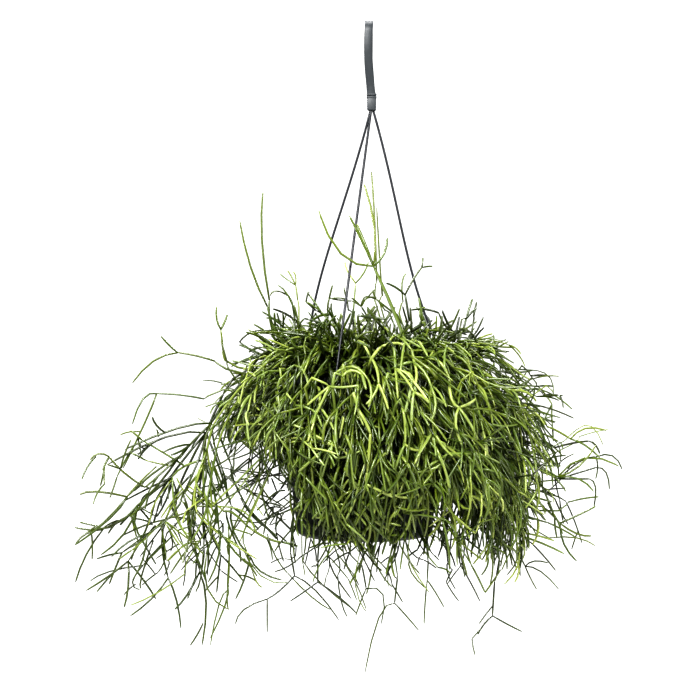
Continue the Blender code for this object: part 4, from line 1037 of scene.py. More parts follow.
# Stems that show on the near side of the mound, which they lie on, so that a spot needs no third number.
FRONT_SHOOTS = (
    # left of the middle: a sheaf that crosses to a node, and what hangs from it
    (0.22, 1, -72, -47, -52, -52, -37, -61, -28, -66, (-35, -86, -43, -114), (-18, -70, -13, -78)),
    (0.25, 1, -70, -62, -59, -59, -44, -59, -28, -63, (-25, -78, -1, -71)),
    (0.35, 0.95, -68, -66, -59, -62, -42, -63, -28, -66, (-39, -89, -37, -129)),
    (0.28, 1, -67, -71, -59, -88, -46, -105, (-42, -118, -36, -131)),
    (0.4, 0.9, -48, -61, -44, -75),
    (0.5, 0.9, -82, -25, -75, -46, -71, -61, (-68, -89, -70, -110)),
    # the long stem down the middle and its forks
    (0.22, 1.15, -10, -19, -4, -31, 4, -45, 8, -55, 7, -71, 5, -92, 4, -103, (10, -123, 11, -137,
     (20, -143, 28, -148), (6, -144, -1, -152)), (-1, -119, -3, -132), (16, -109, 33, -117)),
    # right of the middle
    (0.25, 1.05, 32, -28, 38, -30, 41, -45, 41, -65, (48, -70, 56, -71), (36, -76, 32, -89)),
    (0.35, 0.95, 32, -53, 23, -73, 11, -87),
    (0.28, 1, 39, -78, 48, -97, 53, -112, (43, -116, 26, -112), (59, -124, 68, -129)),
    (0.3, 1, 80, -71, 75, -79, 59, -90, 53, -104, (49, -118, 44, -129)),
    (0.3, 1, 71, -61, 80, -74, (71, -87, 48, -92), (92, -74, 108, -74, 131, -83)),
    # arches over the upper front
    (0.2, 1.1, 9, 16, 19, 28, 34, 31, 47, 25, 50, 11, (52, 0, 49, -11)),
    (0.22, 1.05, -3, 33, 8, 18, 14, 7, 16, -8, (11, -19, 4, -27), (21, -19, 25, -32)),
    (0.25, 1.1, -28, -10, -19, -1, -10, 5, 0, 1, 4, -13),
    (0.32, 1, -25, 2, -15, 8, -4, 7, 6, -4, (9, -17, 6, -30)),
    (0.25, 1, -54, -11, -31, -10, (-18, -11, -3, -9), (-44, -21, -52, -28), (-38, -25, -48, -46)),
    (0.28, 0.95, -71, -21, -63, -28, -48, -32, (-42, -38, -38, -49)),
    (0.35, 0.95, -76, -5, -72, 5, -64, 10, (-55, 4, -51, -10)),
    (0.35, 0.9, -89, 4, -99, -8, -102, -24, -97, -33),
    (0.4, 0.9, -70, 4, -80, -15, -78, -34),
    (0.22, 1.1, 48, 34, 63, 17, 75, 12, 83, -3, 85, -22, 92, -30, (101, -27, 108, -22), (103, -46,
     110, -61), (89, -46, 95, -66)),
    (0.28, 1.05, 36, 10, 48, 13, 59, 4, 66, -11, (70, -27, 66, -42)),
    (0.28, 1.05, 21, -11, 28, 0, 40, 4, 48, -2, 51, -15),
    (0.35, 1, 74, 23, 89, 19, 101, 10, 106, -6, (116, -15, 119, -28)),
    (0.4, 0.9, 95, -4, 110, -11, 120, -27, 124, -46, (135, -48, 148, -46)),
    # lower right
    (0.3, 1, 97, -126, 102, -114, 112, -118, 121, -129, (125, -141, 124, -156)),
    (0.35, 0.95, 65, -99, 78, -114, 86, -131, (89, -146, 86, -162), (97, -141, 108, -150)),
    (0.4, 0.9, 118, -89, 135, -97, 148, -110, (160, -118, 167, -131)),
    # low on the front of the pot
    (0.35, 0.95, -23, -89, -27, -108, -19, -129, (-25, -142, -34, -152), (-11, -141, -6, -156)),
    (0.4, 0.85, -59, -95, -53, -114, -55, -133, (-48, -142, -42, -152), (-61, -142, -59, -152)),
    (0.32, 1, 21, -89, 28, -108, 32, -129, (25, -142, 27, -160), (42, -141, 49, -156)),
    (0.35, 0.95, -15, -57, -8, -76, -11, -97, (-19, -110, -16, -124), (-4, -108, 4, -118)),
    (0.35, 0.9, -59, -104, -52, -119, -48, -134, (-42, -142, -46, -154)),
    (0.3, 0.95, -46, -125, -35, -134, -39, -147),
    (0.45, 0.9, -66, -78, -67, -95, -63, -112, (-66, -127, -61, -141), (-57, -122, -51, -129)),
    (0.4, 0.9, -52, -80, -59, -97, -52, -110, (-44, -116, -38, -124)),
    (0.4, 0.95, -40, -95, -30, -110, -30, -129, (-23, -141, -27, -156), (-36, -142, -32, -158)),
    (0.3, 0.95, -38, -72, -48, -87, -46, -108, (-53, -120, -57, -129)),
    (0.3, 1, -16, -89, -2, -106, 0, -127, (-8, -141, -13, -158), (8, -142, 4, -162)),
    (0.45, 0.9, -11, -118, -21, -133, -23, -150),
)

ALL_SHOOTS = (
    *(shoot(3, *row) for row in SHOOTS), *(beside(*row) for row in SIDE_SHOOTS),
    *(shoot(2, *row) for row in FRONT_SHOOTS))


# Growth


@dataclass(frozen=True)
class Layer:
    """A layer of the mass of stems, from the matted middle out."""

    stems_per_area: float
    depths: Pair
    # their age, higher in the deeper layers as painted shade inside the mass
    ages: Pair
    radii: Pair
    lengths: Pair
    links: tuple[int, int]
    stray: float
    pull: float
    curl: float
    spreads: Pair
    twigs: tuple[int, ...] = (0, 1, 1, 2, 2, 3)
    lift: Pair = (0.4, 1.0)
    stops: Pair = (0.62, 1.0)
    swing: float = 0.5
    rise: float = 0.0
    shares: Pair = (0.03, 0.90)
    facing: Pair = (0.0, 360.0)


# Deeper layers get older ages, which is painted shade: it darkens the stems inside the mass.
LAYERS = (
    Layer(1100, (0.62, 0.78), (0.80, 1.0), (0.00095, 0.0013), (0.034, 0.052), (2, 4), 0.25, 0.9, 0.2,
          (12, 30), stops=(0.5, 0.80), shares=(0.03, 0.62)),
    Layer(2100, (0.74, 0.90), (0.55, 0.97), (0.00095, 0.0013), (0.034, 0.054), (2, 4), 0.28, 0.9, 0.3,
          (12, 34), stops=(0.5, 0.88), shares=(0.03, 0.80)),
    Layer(1700, (0.86, 1.02), (0.25, 0.84), (0.00090, 0.00130), (0.034, 0.056), (1, 3), 0.40, 0.8, 0.5,
          (15, 46), swing=0.7),
    # stems that stand out over the front
    Layer(620, (0.93, 1.06), (0.22, 0.66), (0.0011, 0.0015), (0.038, 0.058), (1, 2), 0.30, 1.3, 0.35,
          (18, 44), twigs=(0, 0, 1), lift=(0.3, 0.8), swing=1.1, rise=0.7, shares=(0.14, 0.56),
          facing=(192.0, 350.0)),
    Layer(560, (0.93, 1.08), (0.22, 0.70), (0.0010, 0.0014), (0.036, 0.056), (2, 3), 0.36, 1.1, 0.5,
          (22, 66), twigs=(0, 1, 2), stops=(0.9, 1.15), shares=(0.38, 0.85), facing=(212.0, 345.0)),
)


@dataclass(frozen=True)
class Spray:
    """Thin twigs that zigzag out of the mass.

    They start between two places, each an azimuth, a radius and a height. Their way is outward, sideways, up.
    """

    count: int
    low: Place
    high: Place
    way: Place
    spread: float
    links: tuple[int, int]
    lengths: Pair
    radii: Pair
    # their age, with painted shade that darkens sprays in the soil, in the gaps and under the pot
    ages: Pair


SPRAYS = (
    # the feet of the stems, which stand in the soil
    Spray(360, (0, 0.010, -0.014), (360, 0.076, -0.014), (0.75, 0.0, 1.0), 0.25, (1, 2), (0.020, 0.036),
          (0.0010, 0.0014), (0.65, 1.0)),
    # short tips that lean out over the crown
    Spray(36, (-80, 0.030, 0.016), (100, 0.108, 0.032), (1.0, 0.0, 0.30), 0.32, (1, 2), (0.014, 0.028),
          (0.0008, 0.0012), (0.30, 0.85)),
    Spray(22, (100, 0.030, 0.020), (280, 0.076, 0.034), (1.0, 0.0, 0.30), 0.32, (1, 2), (0.014, 0.028),
          (0.0008, 0.0012), (0.30, 0.85)),
    Spray(16, (-28, 0.092, 0.014), (34, 0.112, 0.034), (1.0, 0.0, 0.0), 0.32, (1, 2), (0.016, 0.026),
          (0.0008, 0.0012), (0.35, 0.90)),
    # stems behind the front strand
    Spray(44, (238, 0.045, 0.004), (266, 0.072, 0.018), (0.55, 0.0, 0.40), 0.55, (1, 2), (0.016, 0.028),
          (0.0010, 0.0013), (0.35, 0.85)),
    # stems that hang below it, over the wall
    Spray(34, (244, 0.098, -0.050), (262, 0.112, -0.004), (0.25, 0.0, -1.0), 0.35, (1, 2), (0.020, 0.034),
          (0.0010, 0.0013), (0.30, 0.90)),
    # the fringe in front of the pot's foot
    Spray(30, (236, 0.074, -0.140), (326, 0.094, -0.112), (0.20, 0.0, -1.0), 0.45, (1, 1), (0.014, 0.026),
          (0.0008, 0.0012), (0.25, 0.85)),
    # the gap between the wing and the pot
    Spray(9, (146, 0.084, -0.080), (212, 0.124, -0.045), (0.40, -0.1, -0.8), 0.32, (2, 3), (0.026, 0.040),
          (0.00070, 0.0010), (0.60, 0.95)),
    Spray(6, (118, 0.080, -0.130), (160, 0.100, -0.080), (0.75, 0.5, -0.4), 0.35, (2, 2), (0.022, 0.034),
          (0.00070, 0.0010), (0.70, 1.0)),
    # under the pot
    Spray(16, (0, 0.060, -0.140), (360, 0.105, -0.120), (0.10, 0.0, -1.0), 0.60, (1, 2), (0.016, 0.028),
          (0.0007, 0.0010), (0.70, 1.0)),
    # right side
    Spray(64, (-62, 0.110, -0.120), (60, 0.140, 0.000), (0.90, 0.0, -0.22), 0.32, (1, 3), (0.018, 0.032),
          (0.0007, 0.00095), (0.50, 0.97)),
    # thin tips that droop from the left shoulder
    Spray(80, (140, 0.085, -0.050), (232, 0.112, 0.008), (0.75, 0.0, -0.40), 0.25, (1, 1), (0.018, 0.030),
          (0.0007, 0.0010), (0.40, 0.95)),
)


class Link(NamedTuple):
    """A link of stem, which runs in an arc from its start past its bend to its end."""

    start: Vector
    bend: Vector
    end: Vector
    radius: float
    age: float  # 0 for new growth, 1 for the oldest, and higher where painted shade darkens it
    tone: float  # its own tint, from 0 to 1


@dataclass(frozen=True)
class Room:
    """The room that the plant may fill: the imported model's box, under the crown's tips and round the pot."""

    left: float = -0.262
    right: float = 0.198
    depth: float = 0.172
    # the ceiling is level within a radius on the left and on the right, and falls off beyond it
    crown_top: float = 0.069
    crown_edge: float = 0.012
    crown_fall: float = 12.5
    crown_radii: Pair = (0.073, 0.088)
    # the pot, a stem's thickness larger all round
    rim_radius: float = 0.0945
    rim_drop: float = 0.009
    wall_radius: float = 0.0865
    wall_taper: float = 0.1267
    pot_drop: float = 0.154
    over_rim: float = 0.0035
    lifted_drop: float = 0.015

    def beyond(self, point: Vector) -> bool:
        """Tells whether a point lies outside the room.

        Args:
            point: The place to test.

        Returns:
            True if it lies too far out, or higher than the tips of the crown reach.
        """
        edge = self.crown_radii[point.x >= 0]
        past = max(math.hypot(point.x, point.y) - edge, 0.0)
        ceiling = max(self.crown_top - self.crown_fall * past * past, self.crown_edge)
        return point.z > ceiling or not self.left < point.x < self.right or abs(point.y) > self.depth

    def clear(self, point: Vector) -> Vector:
        """Moves a point out of the pot and of its rim.

        Args:
            point: A point on a stem.

        Returns:
            The point, clear of the pot.
        """
        wall = self.rim_radius if point.z > -self.rim_drop else self.wall_radius + self.wall_taper * point.z
        if math.hypot(point.x, point.y) >= wall or not -self.pot_drop <= point.z <= self.over_rim:
            return point
        if point.z > -self.lifted_drop:
            return Vector((point.x, point.y, self.over_rim))
        return polar(wall, azimuth_of(point), point.z)


@dataclass
class Clump:
    """One of the nine rooted clumps: it grows the links in its own sector of the mound."""

    number: int
    mound: Mound
    strands: Strands
    seed: int = 700
    spray_seed: int = 40
    room: Room = Room()
    links: list[Link] = field(default_factory=list)
    sector: float = 40.0
    first_azimuth: float = 32.0
    give: float = 0.5  # how far a tip may be moved into the mound, as a share of its link
    strand_clear: float = 0.0032
    # twigs in a whorl
    twig_lengths: Pair = (0.018, 0.042)
    twig_reach: float = 1.14
    twig_stout: float = 0.86
    twig_youth: float = 0.18
    twig_again: float = 0.30
    twig_play: float = 0.25
    twig_onward: float = 0.8
    whorl_flatness: float = 0.6
    # stems of the mass
    root_depth: float = 0.12  # how much deeper than its layer a stem starts
    crown_shade: float = 0.7  # painted shade: how much darker a stem is drawn for each metre that it starts above the rim
    taper: float = 1.4  # how much stouter it is for the same
    tries: int = 5
    onward: float = 0.4
    sink: float = 0.3
    retry_stray: float = 0.7
    turn_aside: float = 0.30
    turn_out: Pair = (0.08, 0.15)
    turn_down: float = 0.1
    shares: Pair = (0.03, 0.90)
    most_spread: float = 0.09
    # shoots that are placed one by one, and where the photograph was taken from
    view: Place = (-0.0133, 1.304, 0.0266)
    plant_middle_x: float = -0.0024
    nearest: float = 175.0  # where the search for the mound's near side starts, in millimetres forward
    nearer_step: float = 3.0
    front_depth: float = 1.05
    shoot_radii: Pair = (0.00114, 0.00128)  # of a shoot in space, and of one on the mound
    fork_taper: float = 0.94
    fork_youth: float = 0.06
    thick: float = 1.2
    thick_taper: float = 0.8
    crown_root: float = 0.3
    fringe_root: float = 0.62
    root_level: float = 0.66
    arch: float = 0.06
    bare_middle: Pair = (-0.10, 0.08)  # no side twigs between these, nor above the next
    bare_above: float = -0.06
    low_down: float = -0.145
    side_lengths: Pair = (0.014, 0.032)

    def __post_init__(self) -> None:
        """Seeds the clump's own random draws."""
        self.rng = random.Random(self.seed + self.number)

    @property
    def azimuth(self) -> float:
        """The azimuth of the clump's middle."""
        return self.first_azimuth + self.sector * self.number

    def owns(self, azimuth: float) -> bool:
        """Says whether a direction lies in the clump's sector."""
        return int((azimuth - self.first_azimuth + self.sector / 2) % 360 // self.sector) == self.number

    def stray(self, amount: float) -> Vector:
        """Gives a random offset that is evenly spread in direction."""
        return Vector([self.rng.gauss(0, amount) for _ in range(3)])

    def parted(self, start: Vector, bend: Vector, end: Vector) -> bool:
        """Says whether a link would cross a strand, or lie in front of the front one above the rim.

        Args:
            start: Where it leaves its stem.
            bend: The middle point of the arc's control polygon.
            end: Its tip.

        Returns:
            True if it would.
        """
        for t in (0.2, 0.5, 0.8, 1.0):
            point = on_arc(start, bend, end, t)
            if point.z < 0:
                continue
            for index in range(3):
                gap = point - self.strands.centre(index, point.z)
                before = index == self.strands.front and gap.y < 0
                if abs(gap.x) < self.strand_clear and (before or abs(gap.y) < self.strand_clear):
                    return True
        return False

    def grow_link(
        self, start: Vector, way: Vector, after: Vector, length: float, radius: float, age: float,
        depths: Pair,
    ) -> Vector | None:
        """Grows a link that sets off one way and ends in another.

        Args:
            start: Where it leaves its stem.
            way: The direction that it sets off in.
            after: Its direction at its tip.
            length: Its length.
            radius: Its radius.
            age: Its age, with painted shade.
            depths: How far out in the mound its tip may lie.

        Returns:
            Its tip, or None where it would cross a strand or leave the mound.
        """
        bend = self.room.clear(start + way * length * 0.5)
        wanted = bend + after * length * 0.5
        end = self.room.clear(self.mound.fitted(wanted, *depths))
        forced = (end - wanted).length > self.give * length
        if forced or self.room.beyond(end) or self.mound.too_low(end) or self.parted(start, bend, end):
            return None
        self.links.append(Link(start, bend, end, radius, age, self.rng.random()))
        return end

    def whorl(
        self, node: Vector, ahead: Vector, count: int, age: float, layer: Layer, order: int = 1,
    ) -> None:
        """Grows the twigs that leave a node.

        Args:
            node: The end of the stem that they leave.
            ahead: The stem's direction there.
            count: How many twigs leave it.
            age: The stem's age, with painted shade.
            layer: The layer that the stem lies in.
            order: 1 for the first twigs, 2 for those on them.
        """
        rng = self.rng
        side = ahead.cross(self.mound.outward_at(node)).normalized()
        across = ahead.cross(side).normalized()
        first = rng.uniform(0, TURN)
        stout = self.twig_stout * self.mound.around(self.mound.stoutness, azimuth_of(node))
        depths = (layer.depths[0], self.twig_reach)
        for i in range(count):
            spread = math.radians(rng.uniform(*layer.spreads))
            turn = first + TURN * (i + rng.uniform(-self.twig_play, self.twig_play)) / count
            sideways = side * math.cos(turn) + across * (self.whorl_flatness * math.sin(turn))
            way = (ahead * math.cos(spread) + sideways * math.sin(spread)).normalized()
            after = way * self.twig_onward + self.stray(layer.curl * 0.6) - UP * rng.uniform(0.0, 1.0)
            after.normalize()
            radius = rng.uniform(*layer.radii) * stout
            young = age - rng.uniform(0.0, self.twig_youth)
            length = rng.uniform(*self.twig_lengths)
            tip = self.grow_link(node, way, after, length, radius, young, depths)
            if tip and order < 2 and rng.random() < self.twig_again:
                self.whorl(tip, after, rng.choice((1, 2, 2)), young, layer, order + 1)

    def trail(self, azimuth: float, share: float, layer: Layer) -> None:
        """Grows a stem that comes out of the matted middle, arches over and trails down the mound.

        Args:
            azimuth: Where it comes out.
            share: How far down the outline it comes out.
            layer: The layer that it lies in.
        """
        rng = self.rng
        mound = self.mound
        place = self.room.clear(mound.point(azimuth, share, layer.depths[0] - self.root_depth))
        out = mound.outward_at(place)
        down = mound.downhill(place, out)
        side = out.cross(down) * rng.choice((-1, 1))
        way = out * rng.uniform(*layer.lift) + down * rng.uniform(0.0, 0.6)
        way += UP * layer.rise + side * rng.uniform(0.0, layer.swing) + self.stray(0.2)
        way.normalize()
        # Painted shade: a stem is drawn darker on the sides and the back of the mound, and the higher it
        # starts on the crown.
        crown = max(place.z, 0.0) * self.crown_shade
        age = rng.uniform(*layer.ages) + mound.around(mound.side_shade, azimuth) + crown
        radius = rng.uniform(*layer.radii) * mound.around(mound.stoutness, azimuth)
        radius *= 1 + self.taper * place.z
        stop = -mound.around(mound.fringe_drop, azimuth) * rng.uniform(*layer.stops)
        for _ in range(rng.randint(*layer.links)):
            for _ in range(self.tries):
                out = mound.outward_at(place)
                down = mound.downhill(place, out)
                side = out.cross(down)
                after = way * self.onward + down * layer.pull + side * rng.gauss(0, layer.stray)
                after -= out * rng.uniform(0, self.sink)
                after = (after + self.stray(layer.curl * 0.4)).normalized()
                length = rng.uniform(*layer.lengths)
                end = self.grow_link(place, way, after, length, radius, age, layer.depths)
                if end is not None:
                    break
                way = (way + self.stray(self.retry_stray)).normalized()
            if end is None or end.z < stop:
                break
            self.whorl(end, after, rng.choice(layer.twigs), age, layer)
            way = after + side * rng.gauss(0, self.turn_aside) + out * rng.gauss(*self.turn_out)
            way = (way + down * self.turn_down).normalized()
            place = end
        self.whorl(place, way, rng.choice((1, 2, 2, 3)), age, layer)

    def grow_mass(self) -> None:
        """Grows the mass of stems, spread evenly over the clump's part of the mound."""
        rng = self.rng
        mound = self.mound
        for layer in LAYERS:
            wanted = round(mound.area(self.azimuth, self.sector) * layer.stems_per_area)
            while wanted:
                azimuth = self.azimuth + rng.uniform(-0.5, 0.5) * self.sector
                share = rng.uniform(*self.shares)
                spread = mound.outline(azimuth, share)[0] * mound.speed(azimuth, share)
                if rng.random() * self.most_spread >= spread:
                    continue
                wanted -= 1
                faces = layer.facing[0] <= azimuth % 360 <= layer.facing[1]
                faces = faces and rng.random() < mound.around(mound.fullness, azimuth)
                if faces and layer.shares[0] <= share <= layer.shares[1]:
                    self.trail(azimuth, share, layer)

    def grow_sprays(self) -> None:
        """Grows the clump's own share of the sprays of thin twigs."""
        for number, spray in enumerate(SPRAYS):
            draw = random.Random(self.spray_seed + number)
            for _ in range(spray.count):
                azimuth, radius, height = (draw.uniform(*ends) for ends in zip(spray.low, spray.high))
                if self.owns(azimuth):
                    self.zigzag(azimuth, polar(radius, azimuth, height), spray)

    def zigzag(self, azimuth: float, start: Vector, spray: Spray) -> None:
        """Grows one thin stem of a spray, from fork to fork.

        Args:
            azimuth: The direction that it faces.
            start: Where it sets off.
            spray: The spray that it belongs to.
        """
        rng = self.rng
        outward, sideways, upward = spray.way
        drift = polar(outward, azimuth, upward) + polar(sideways, azimuth + 90, 0)
        way = (drift + self.stray(spray.spread)).normalized()
        age = rng.uniform(*spray.ages)
        radius = rng.uniform(*spray.radii)
        for _ in range(rng.randint(*spray.links)):
            after = (way + self.stray(spray.spread * 0.5)).normalized()
            length = rng.uniform(*spray.lengths)
            bend = self.room.clear(start + way * length * 0.5)
            end = self.room.clear(bend + after * length * 0.5)
            if self.room.beyond(end) or self.parted(start, bend, end):
                return
            self.links.append(Link(start, bend, end, radius, age, rng.random()))
            for _ in range(rng.choice((0, 0, 1, 1, 2))):
                self.side_twig(end, after, radius * 0.92, age)
            way = (after * 0.6 + drift * 0.5 + self.stray(spray.spread)).normalized()
            start = end

    def seen(self, spot: Sequence[float]) -> Vector:
        """Finds the point that shows at a place, seen from where the photograph was taken.

        Args:
            spot: Right of the plant's middle, above the rim and forward of the axis, in millimetres.

        Returns:
            The point in the pot's frame, just outside the mound where the spot has no third number.
        """
        if len(spot) == 2:
            forward = self.nearest
            while forward > 0 and self.mound.depth(self.seen((*spot, forward))) > self.front_depth:
                forward -= self.nearer_step
            return self.seen((*spot, forward))
        view_x, distance, view_z = self.view
        right, up, forward = (value / 1000 for value in spot)
        nearer = 1 - forward / distance
        x = view_x + (right - view_x) * nearer + self.plant_middle_x
        return Vector((x, -forward, view_z + (up - view_z) * nearer))

    def grow_shoot(self, start: Vector, grown: Shoot, age: float, stout: float, order: int) -> None:
        """Grows a shoot whose spots are listed, and all that leaves its end.

        Args:
            start: Where it leaves its stem or the core.
            grown: The shoot.
            age: Its age, with painted shade.
            stout: Its thickness, as a share of a plain stem.
            order: How many forks lie between it and the core.
        """
        rng = self.rng
        line = [self.room.clear(self.seen(spot)) for spot in grown.spots]
        if not grown.lateral:
            line.insert(0, start)
        radius = self.shoot_radii[grown.flat] * stout * self.fork_taper ** order
        arcs = []
        while len(line) > 1:
            if len(line) == 2:
                bend = (line[0] + line[1]) / 2 + UP * self.arch * (line[1] - line[0]).length
                arc, line = (line[0], bend, line[1]), line[1:]
            else:
                bend = line[1] * 2 - (line[0] + line[2]) / 2
                arc, line = (line[0], bend, line[2]), line[2:]
            self.links.append(Link(*arc, radius, age, rng.random()))
            arcs.append(arc)
        slimmer = stout * (self.thick_taper if order == 0 and stout > self.thick else 1)
        for twig in grown.twigs:
            self.grow_shoot(arc[2], twig, age - self.fork_youth, slimmer, order + 1)
        left, right = self.bare_middle
        if arc[2].z > self.bare_above or left < arc[2].x < right or grown.flat or grown.lateral:
            return
        for arc in arcs:
            ahead = (arc[2] - arc[0]).normalized()
            for _ in range(rng.choice((1, 2, 2, 3) if arc[2].z > self.low_down else (0, 0, 0, 1))):
                node = arc[1].lerp(arc[2], rng.uniform(0.1, 0.8)) * 0.5 + arc[0].lerp(arc[2], 0.6) * 0.5
                self.side_twig(node, ahead, radius * 0.85, age)

    def side_twig(self, node: Vector, ahead: Vector, radius: float, age: float) -> None:
        """Grows a short free twig beside a shoot, and now and then another on its end.

        Args:
            node: Where it leaves the shoot.
            ahead: The shoot's direction there.
            radius: Its radius.
            age: The shoot's age, with painted shade.
        """
        rng = self.rng
        for _ in range(rng.choice((1, 1, 2))):
            way = (ahead + self.stray(0.50)).normalized()
            after = (way + self.stray(0.3) - UP * rng.uniform(0.0, 0.5)).normalized()
            length = rng.uniform(*self.side_lengths)
            bend = node + way * length * 0.5
            tip = bend + after * length * 0.5
            if self.room.beyond(tip) or self.parted(node, bend, tip):
                return
            self.links.append(Link(node, bend, tip, radius, age, rng.random()))
            node, ahead = tip, after

    def grow(self) -> list[Link]:
        """Grows the whole clump.

        Returns:
            Its links.
        """
        for grown in ALL_SHOOTS:
            first = self.seen(grown.spots[0])
            if self.owns(azimuth_of(first)):
                share = self.crown_root if first.z > 0 else self.fringe_root
                root = self.mound.point(azimuth_of(first), share, self.root_level)
                self.grow_shoot(self.room.clear(root), grown, grown.age, grown.stout, 0)
        self.grow_mass()
        self.grow_sprays()
        return self.links


@dataclass(frozen=True)
class StemBody:
    """The shape of one link: a round tube that is a little narrower at its ends and closes in a blunt tip."""

    sides: int = 6
    rings: tuple[Pair, ...] = (
        (0.0, 0.80), (0.24, 1.0), (0.50, 0.98), (0.76, 0.93), (0.95, 0.78), (1.0, 0.40))
    straight_level: Place = (3e-8, 5e-8, 8.1e-8)

    def pattern(self) -> bpy.types.Mesh:
        """Makes a straight link of unit length and radius.

        Returns:
            The pattern that all the links are bent from.
        """
        cuts = len(self.rings) - 2
        bm = bmesh.new()
        bmesh.ops.create_cone(bm, cap_ends=True, segments=self.sides, radius1=1, radius2=1, depth=1)
        upright = [edge for edge in bm.edges if abs(edge.verts[0].co.z - edge.verts[1].co.z) > 0.5]
        bmesh.ops.subdivide_edges(bm, edges=upright, cuts=cuts, use_grid_fill=True)
        for vert in bm.verts:
            place, width = self.rings[round((vert.co.z + 0.5) * (cuts + 1))]
            turn = math.atan2(vert.co.y, vert.co.x)
            vert.co = (width * math.cos(turn), width * math.sin(turn), place)
        return mesh_from(bm, "link_pattern", 180)

    def bent(self, name: str, links: Sequence[Link]) -> bpy.types.Mesh:
        """Bends a copy of the pattern along each link.

        Args:
            name: The mesh's name.
            links: The links.

        Returns:
            One mesh of all the links, with the attributes age, tone and along; the first holds painted shade
            as well as age.
        """
        pattern = self.pattern()
        flat = np.empty(len(pattern.vertices) * 3)
        pattern.vertices.foreach_get("co", flat)
        across, beside, t = flat.reshape(-1, 3).T
        count = len(links)
        copies = add_piece(name, pattern)
        array = copies.modifiers.new("copies", "ARRAY")
        array.fit_type = "FIXED_COUNT"
        array.count = count
        array.use_relative_offset = False
        mesh = applied(copies)
        mesh.name = name
        bpy.data.objects.remove(copies)

        *corners, radii, ages, tones = zip(*links)
        start, bend, end = (np.array(points)[:, None, :] for points in corners)
        t = t[None, :, None]
        line = on_arc(start, bend, end, t)
        ahead = (bend - start) * (1 - t) + (end - bend) * t
        ahead /= np.linalg.norm(ahead, axis=2, keepdims=True)
        level = np.cross(bend - start, end - bend)
        level += self.straight_level  # a straight link has no plane of its own
        level /= np.linalg.norm(level, axis=2, keepdims=True)
        normal = np.cross(level, ahead)
        normal /= np.linalg.norm(normal, axis=2, keepdims=True)
        radius = np.array(radii)[:, None, None]
        places = line + radius * (normal * across[None, :, None] + level * beside[None, :, None])
        mesh.vertices.foreach_set("co", places.astype(np.float32).ravel())
        size = t.shape[1]
        for label, values in (
            ("age", np.repeat(np.clip(ages, 0, 1), size)), ("tone", np.repeat(tones, size)),
            ("along", np.tile(t.ravel(), count)),
        ):
            attribute = mesh.attributes.new(label, "FLOAT", "POINT")
            attribute.data.foreach_set("value", values.astype(np.float32))
        mesh.update()
        return mesh


# Pot, soil and hanger


@dataclass(frozen=True)
class HangingPot:
    """The tapered plastic pot with its flanged rim."""

    place: PotPlace
    base_radius: float = 0.064
    top_radius: float = 0.083
    wall: float = 0.0018
    floor: float = 0.0022
    corner: float = 0.007
    lip_drop: float = 0.006
    lip_thick: float = 0.0016
    rim_thick: float = 0.002
    foot_recess: float = 0.0015
    foot_width: float = 0.007
    drain_circle: float = 0.042
    drain_radius: float = 0.004
    strand_hole: float = 0.0017
    drains: int = 6
    hole_depth: float = 0.016
    hole_sides: int = 20
    floor_inset: float = 0.001
    step_depth: float = 0.0006
    upper_step: Pair = (0.030, 0.031)  # where it starts and ends, below the rim
    lower_step: Pair = (0.012, 0.011)  # the same above the base
    edge_radius: float = 0.0008
    sides: int = 144

    def wall_radius(self, height: float) -> float:
        """Gives the outside radius of the wall at a height below the rim."""
        share = min(max(-height / self.place.height, 0.0), 1.0)
        return self.top_radius + (self.base_radius - self.top_radius) * share

    def profile(self) -> list[Vector]:
        """Works out the pot's section.

        Returns:
            Its points, from the axis over the floor, wall and rim and back under the base to the axis.
        """
        base = -self.place.height
        floor = base + self.foot_recess + self.floor
        rim = self.place.rim_radius
        corner = self.base_radius - self.corner
        foot = corner - self.foot_width
        upper, under_upper = (-drop for drop in self.upper_step)
        lower, under_lower = (base + rise for rise in self.lower_step)
        outside = [
            (0, floor), (self.wall_radius(floor) - self.wall - self.floor_inset, floor),
            (self.wall_radius(0) - self.wall, 0), (rim, 0), (rim, -self.lip_drop),
            (rim - self.lip_thick, -self.lip_drop), (rim - self.lip_thick, -self.rim_thick),
            (self.top_radius, -self.rim_thick), (self.wall_radius(upper), upper),
            (self.wall_radius(under_upper) - self.step_depth, under_upper),
            (self.wall_radius(lower) - self.step_depth, lower), (self.wall_radius(under_lower), under_lower),
            (self.base_radius, base), (foot, base), (foot, base + self.foot_recess),
            (0, base + self.foot_recess),
        ]
        points = [Vector((radius, 0, height)) for radius, height in outside]
        line = eased(points[:12], self.edge_radius, 3)
        line += eased(points[11:14], self.corner, 8)[1:]
        return line + points[14:]

    def mesh(self) -> bpy.types.Mesh:
        """Builds the pot.

        Returns:
            Its mesh, with drain holes and strand holes cut.
        """
        solid = add_piece("pot_solid", mesh_from(turned(self.profile(), self.sides), "pot_solid"))
        turns = [360 / self.drains * i for i in range(self.drains)]
        drains = [polar(self.drain_circle, azimuth, -self.place.height) for azimuth in turns]
        holes = [polar(Strands.circle, azimuth, 0) for azimuth in Strands.azimuths]
        bm = bmesh.new()
        for radius, centres in ((self.drain_radius, drains), (self.strand_hole, holes)):
            for centre in centres:
                made = bmesh.ops.create_cone(
                    bm, cap_ends=True, segments=self.hole_sides, radius1=radius, radius2=radius,
                    depth=self.hole_depth)
                bmesh.ops.translate(bm, vec=centre, verts=made["verts"])
        cutter = add_piece("pot_holes", mesh_from(bm, "pot_holes"))
        cut = solid.modifiers.new("holes", "BOOLEAN")
        cut.object = cutter
        cut.operation = "DIFFERENCE"
        mesh = applied(solid)
        bpy.data.objects.remove(solid)
        bpy.data.objects.remove(cutter)
        mesh.shade_smooth()
        mesh.set_sharp_from_angle(angle=math.radians(35))
        return self.place.settle(mesh)


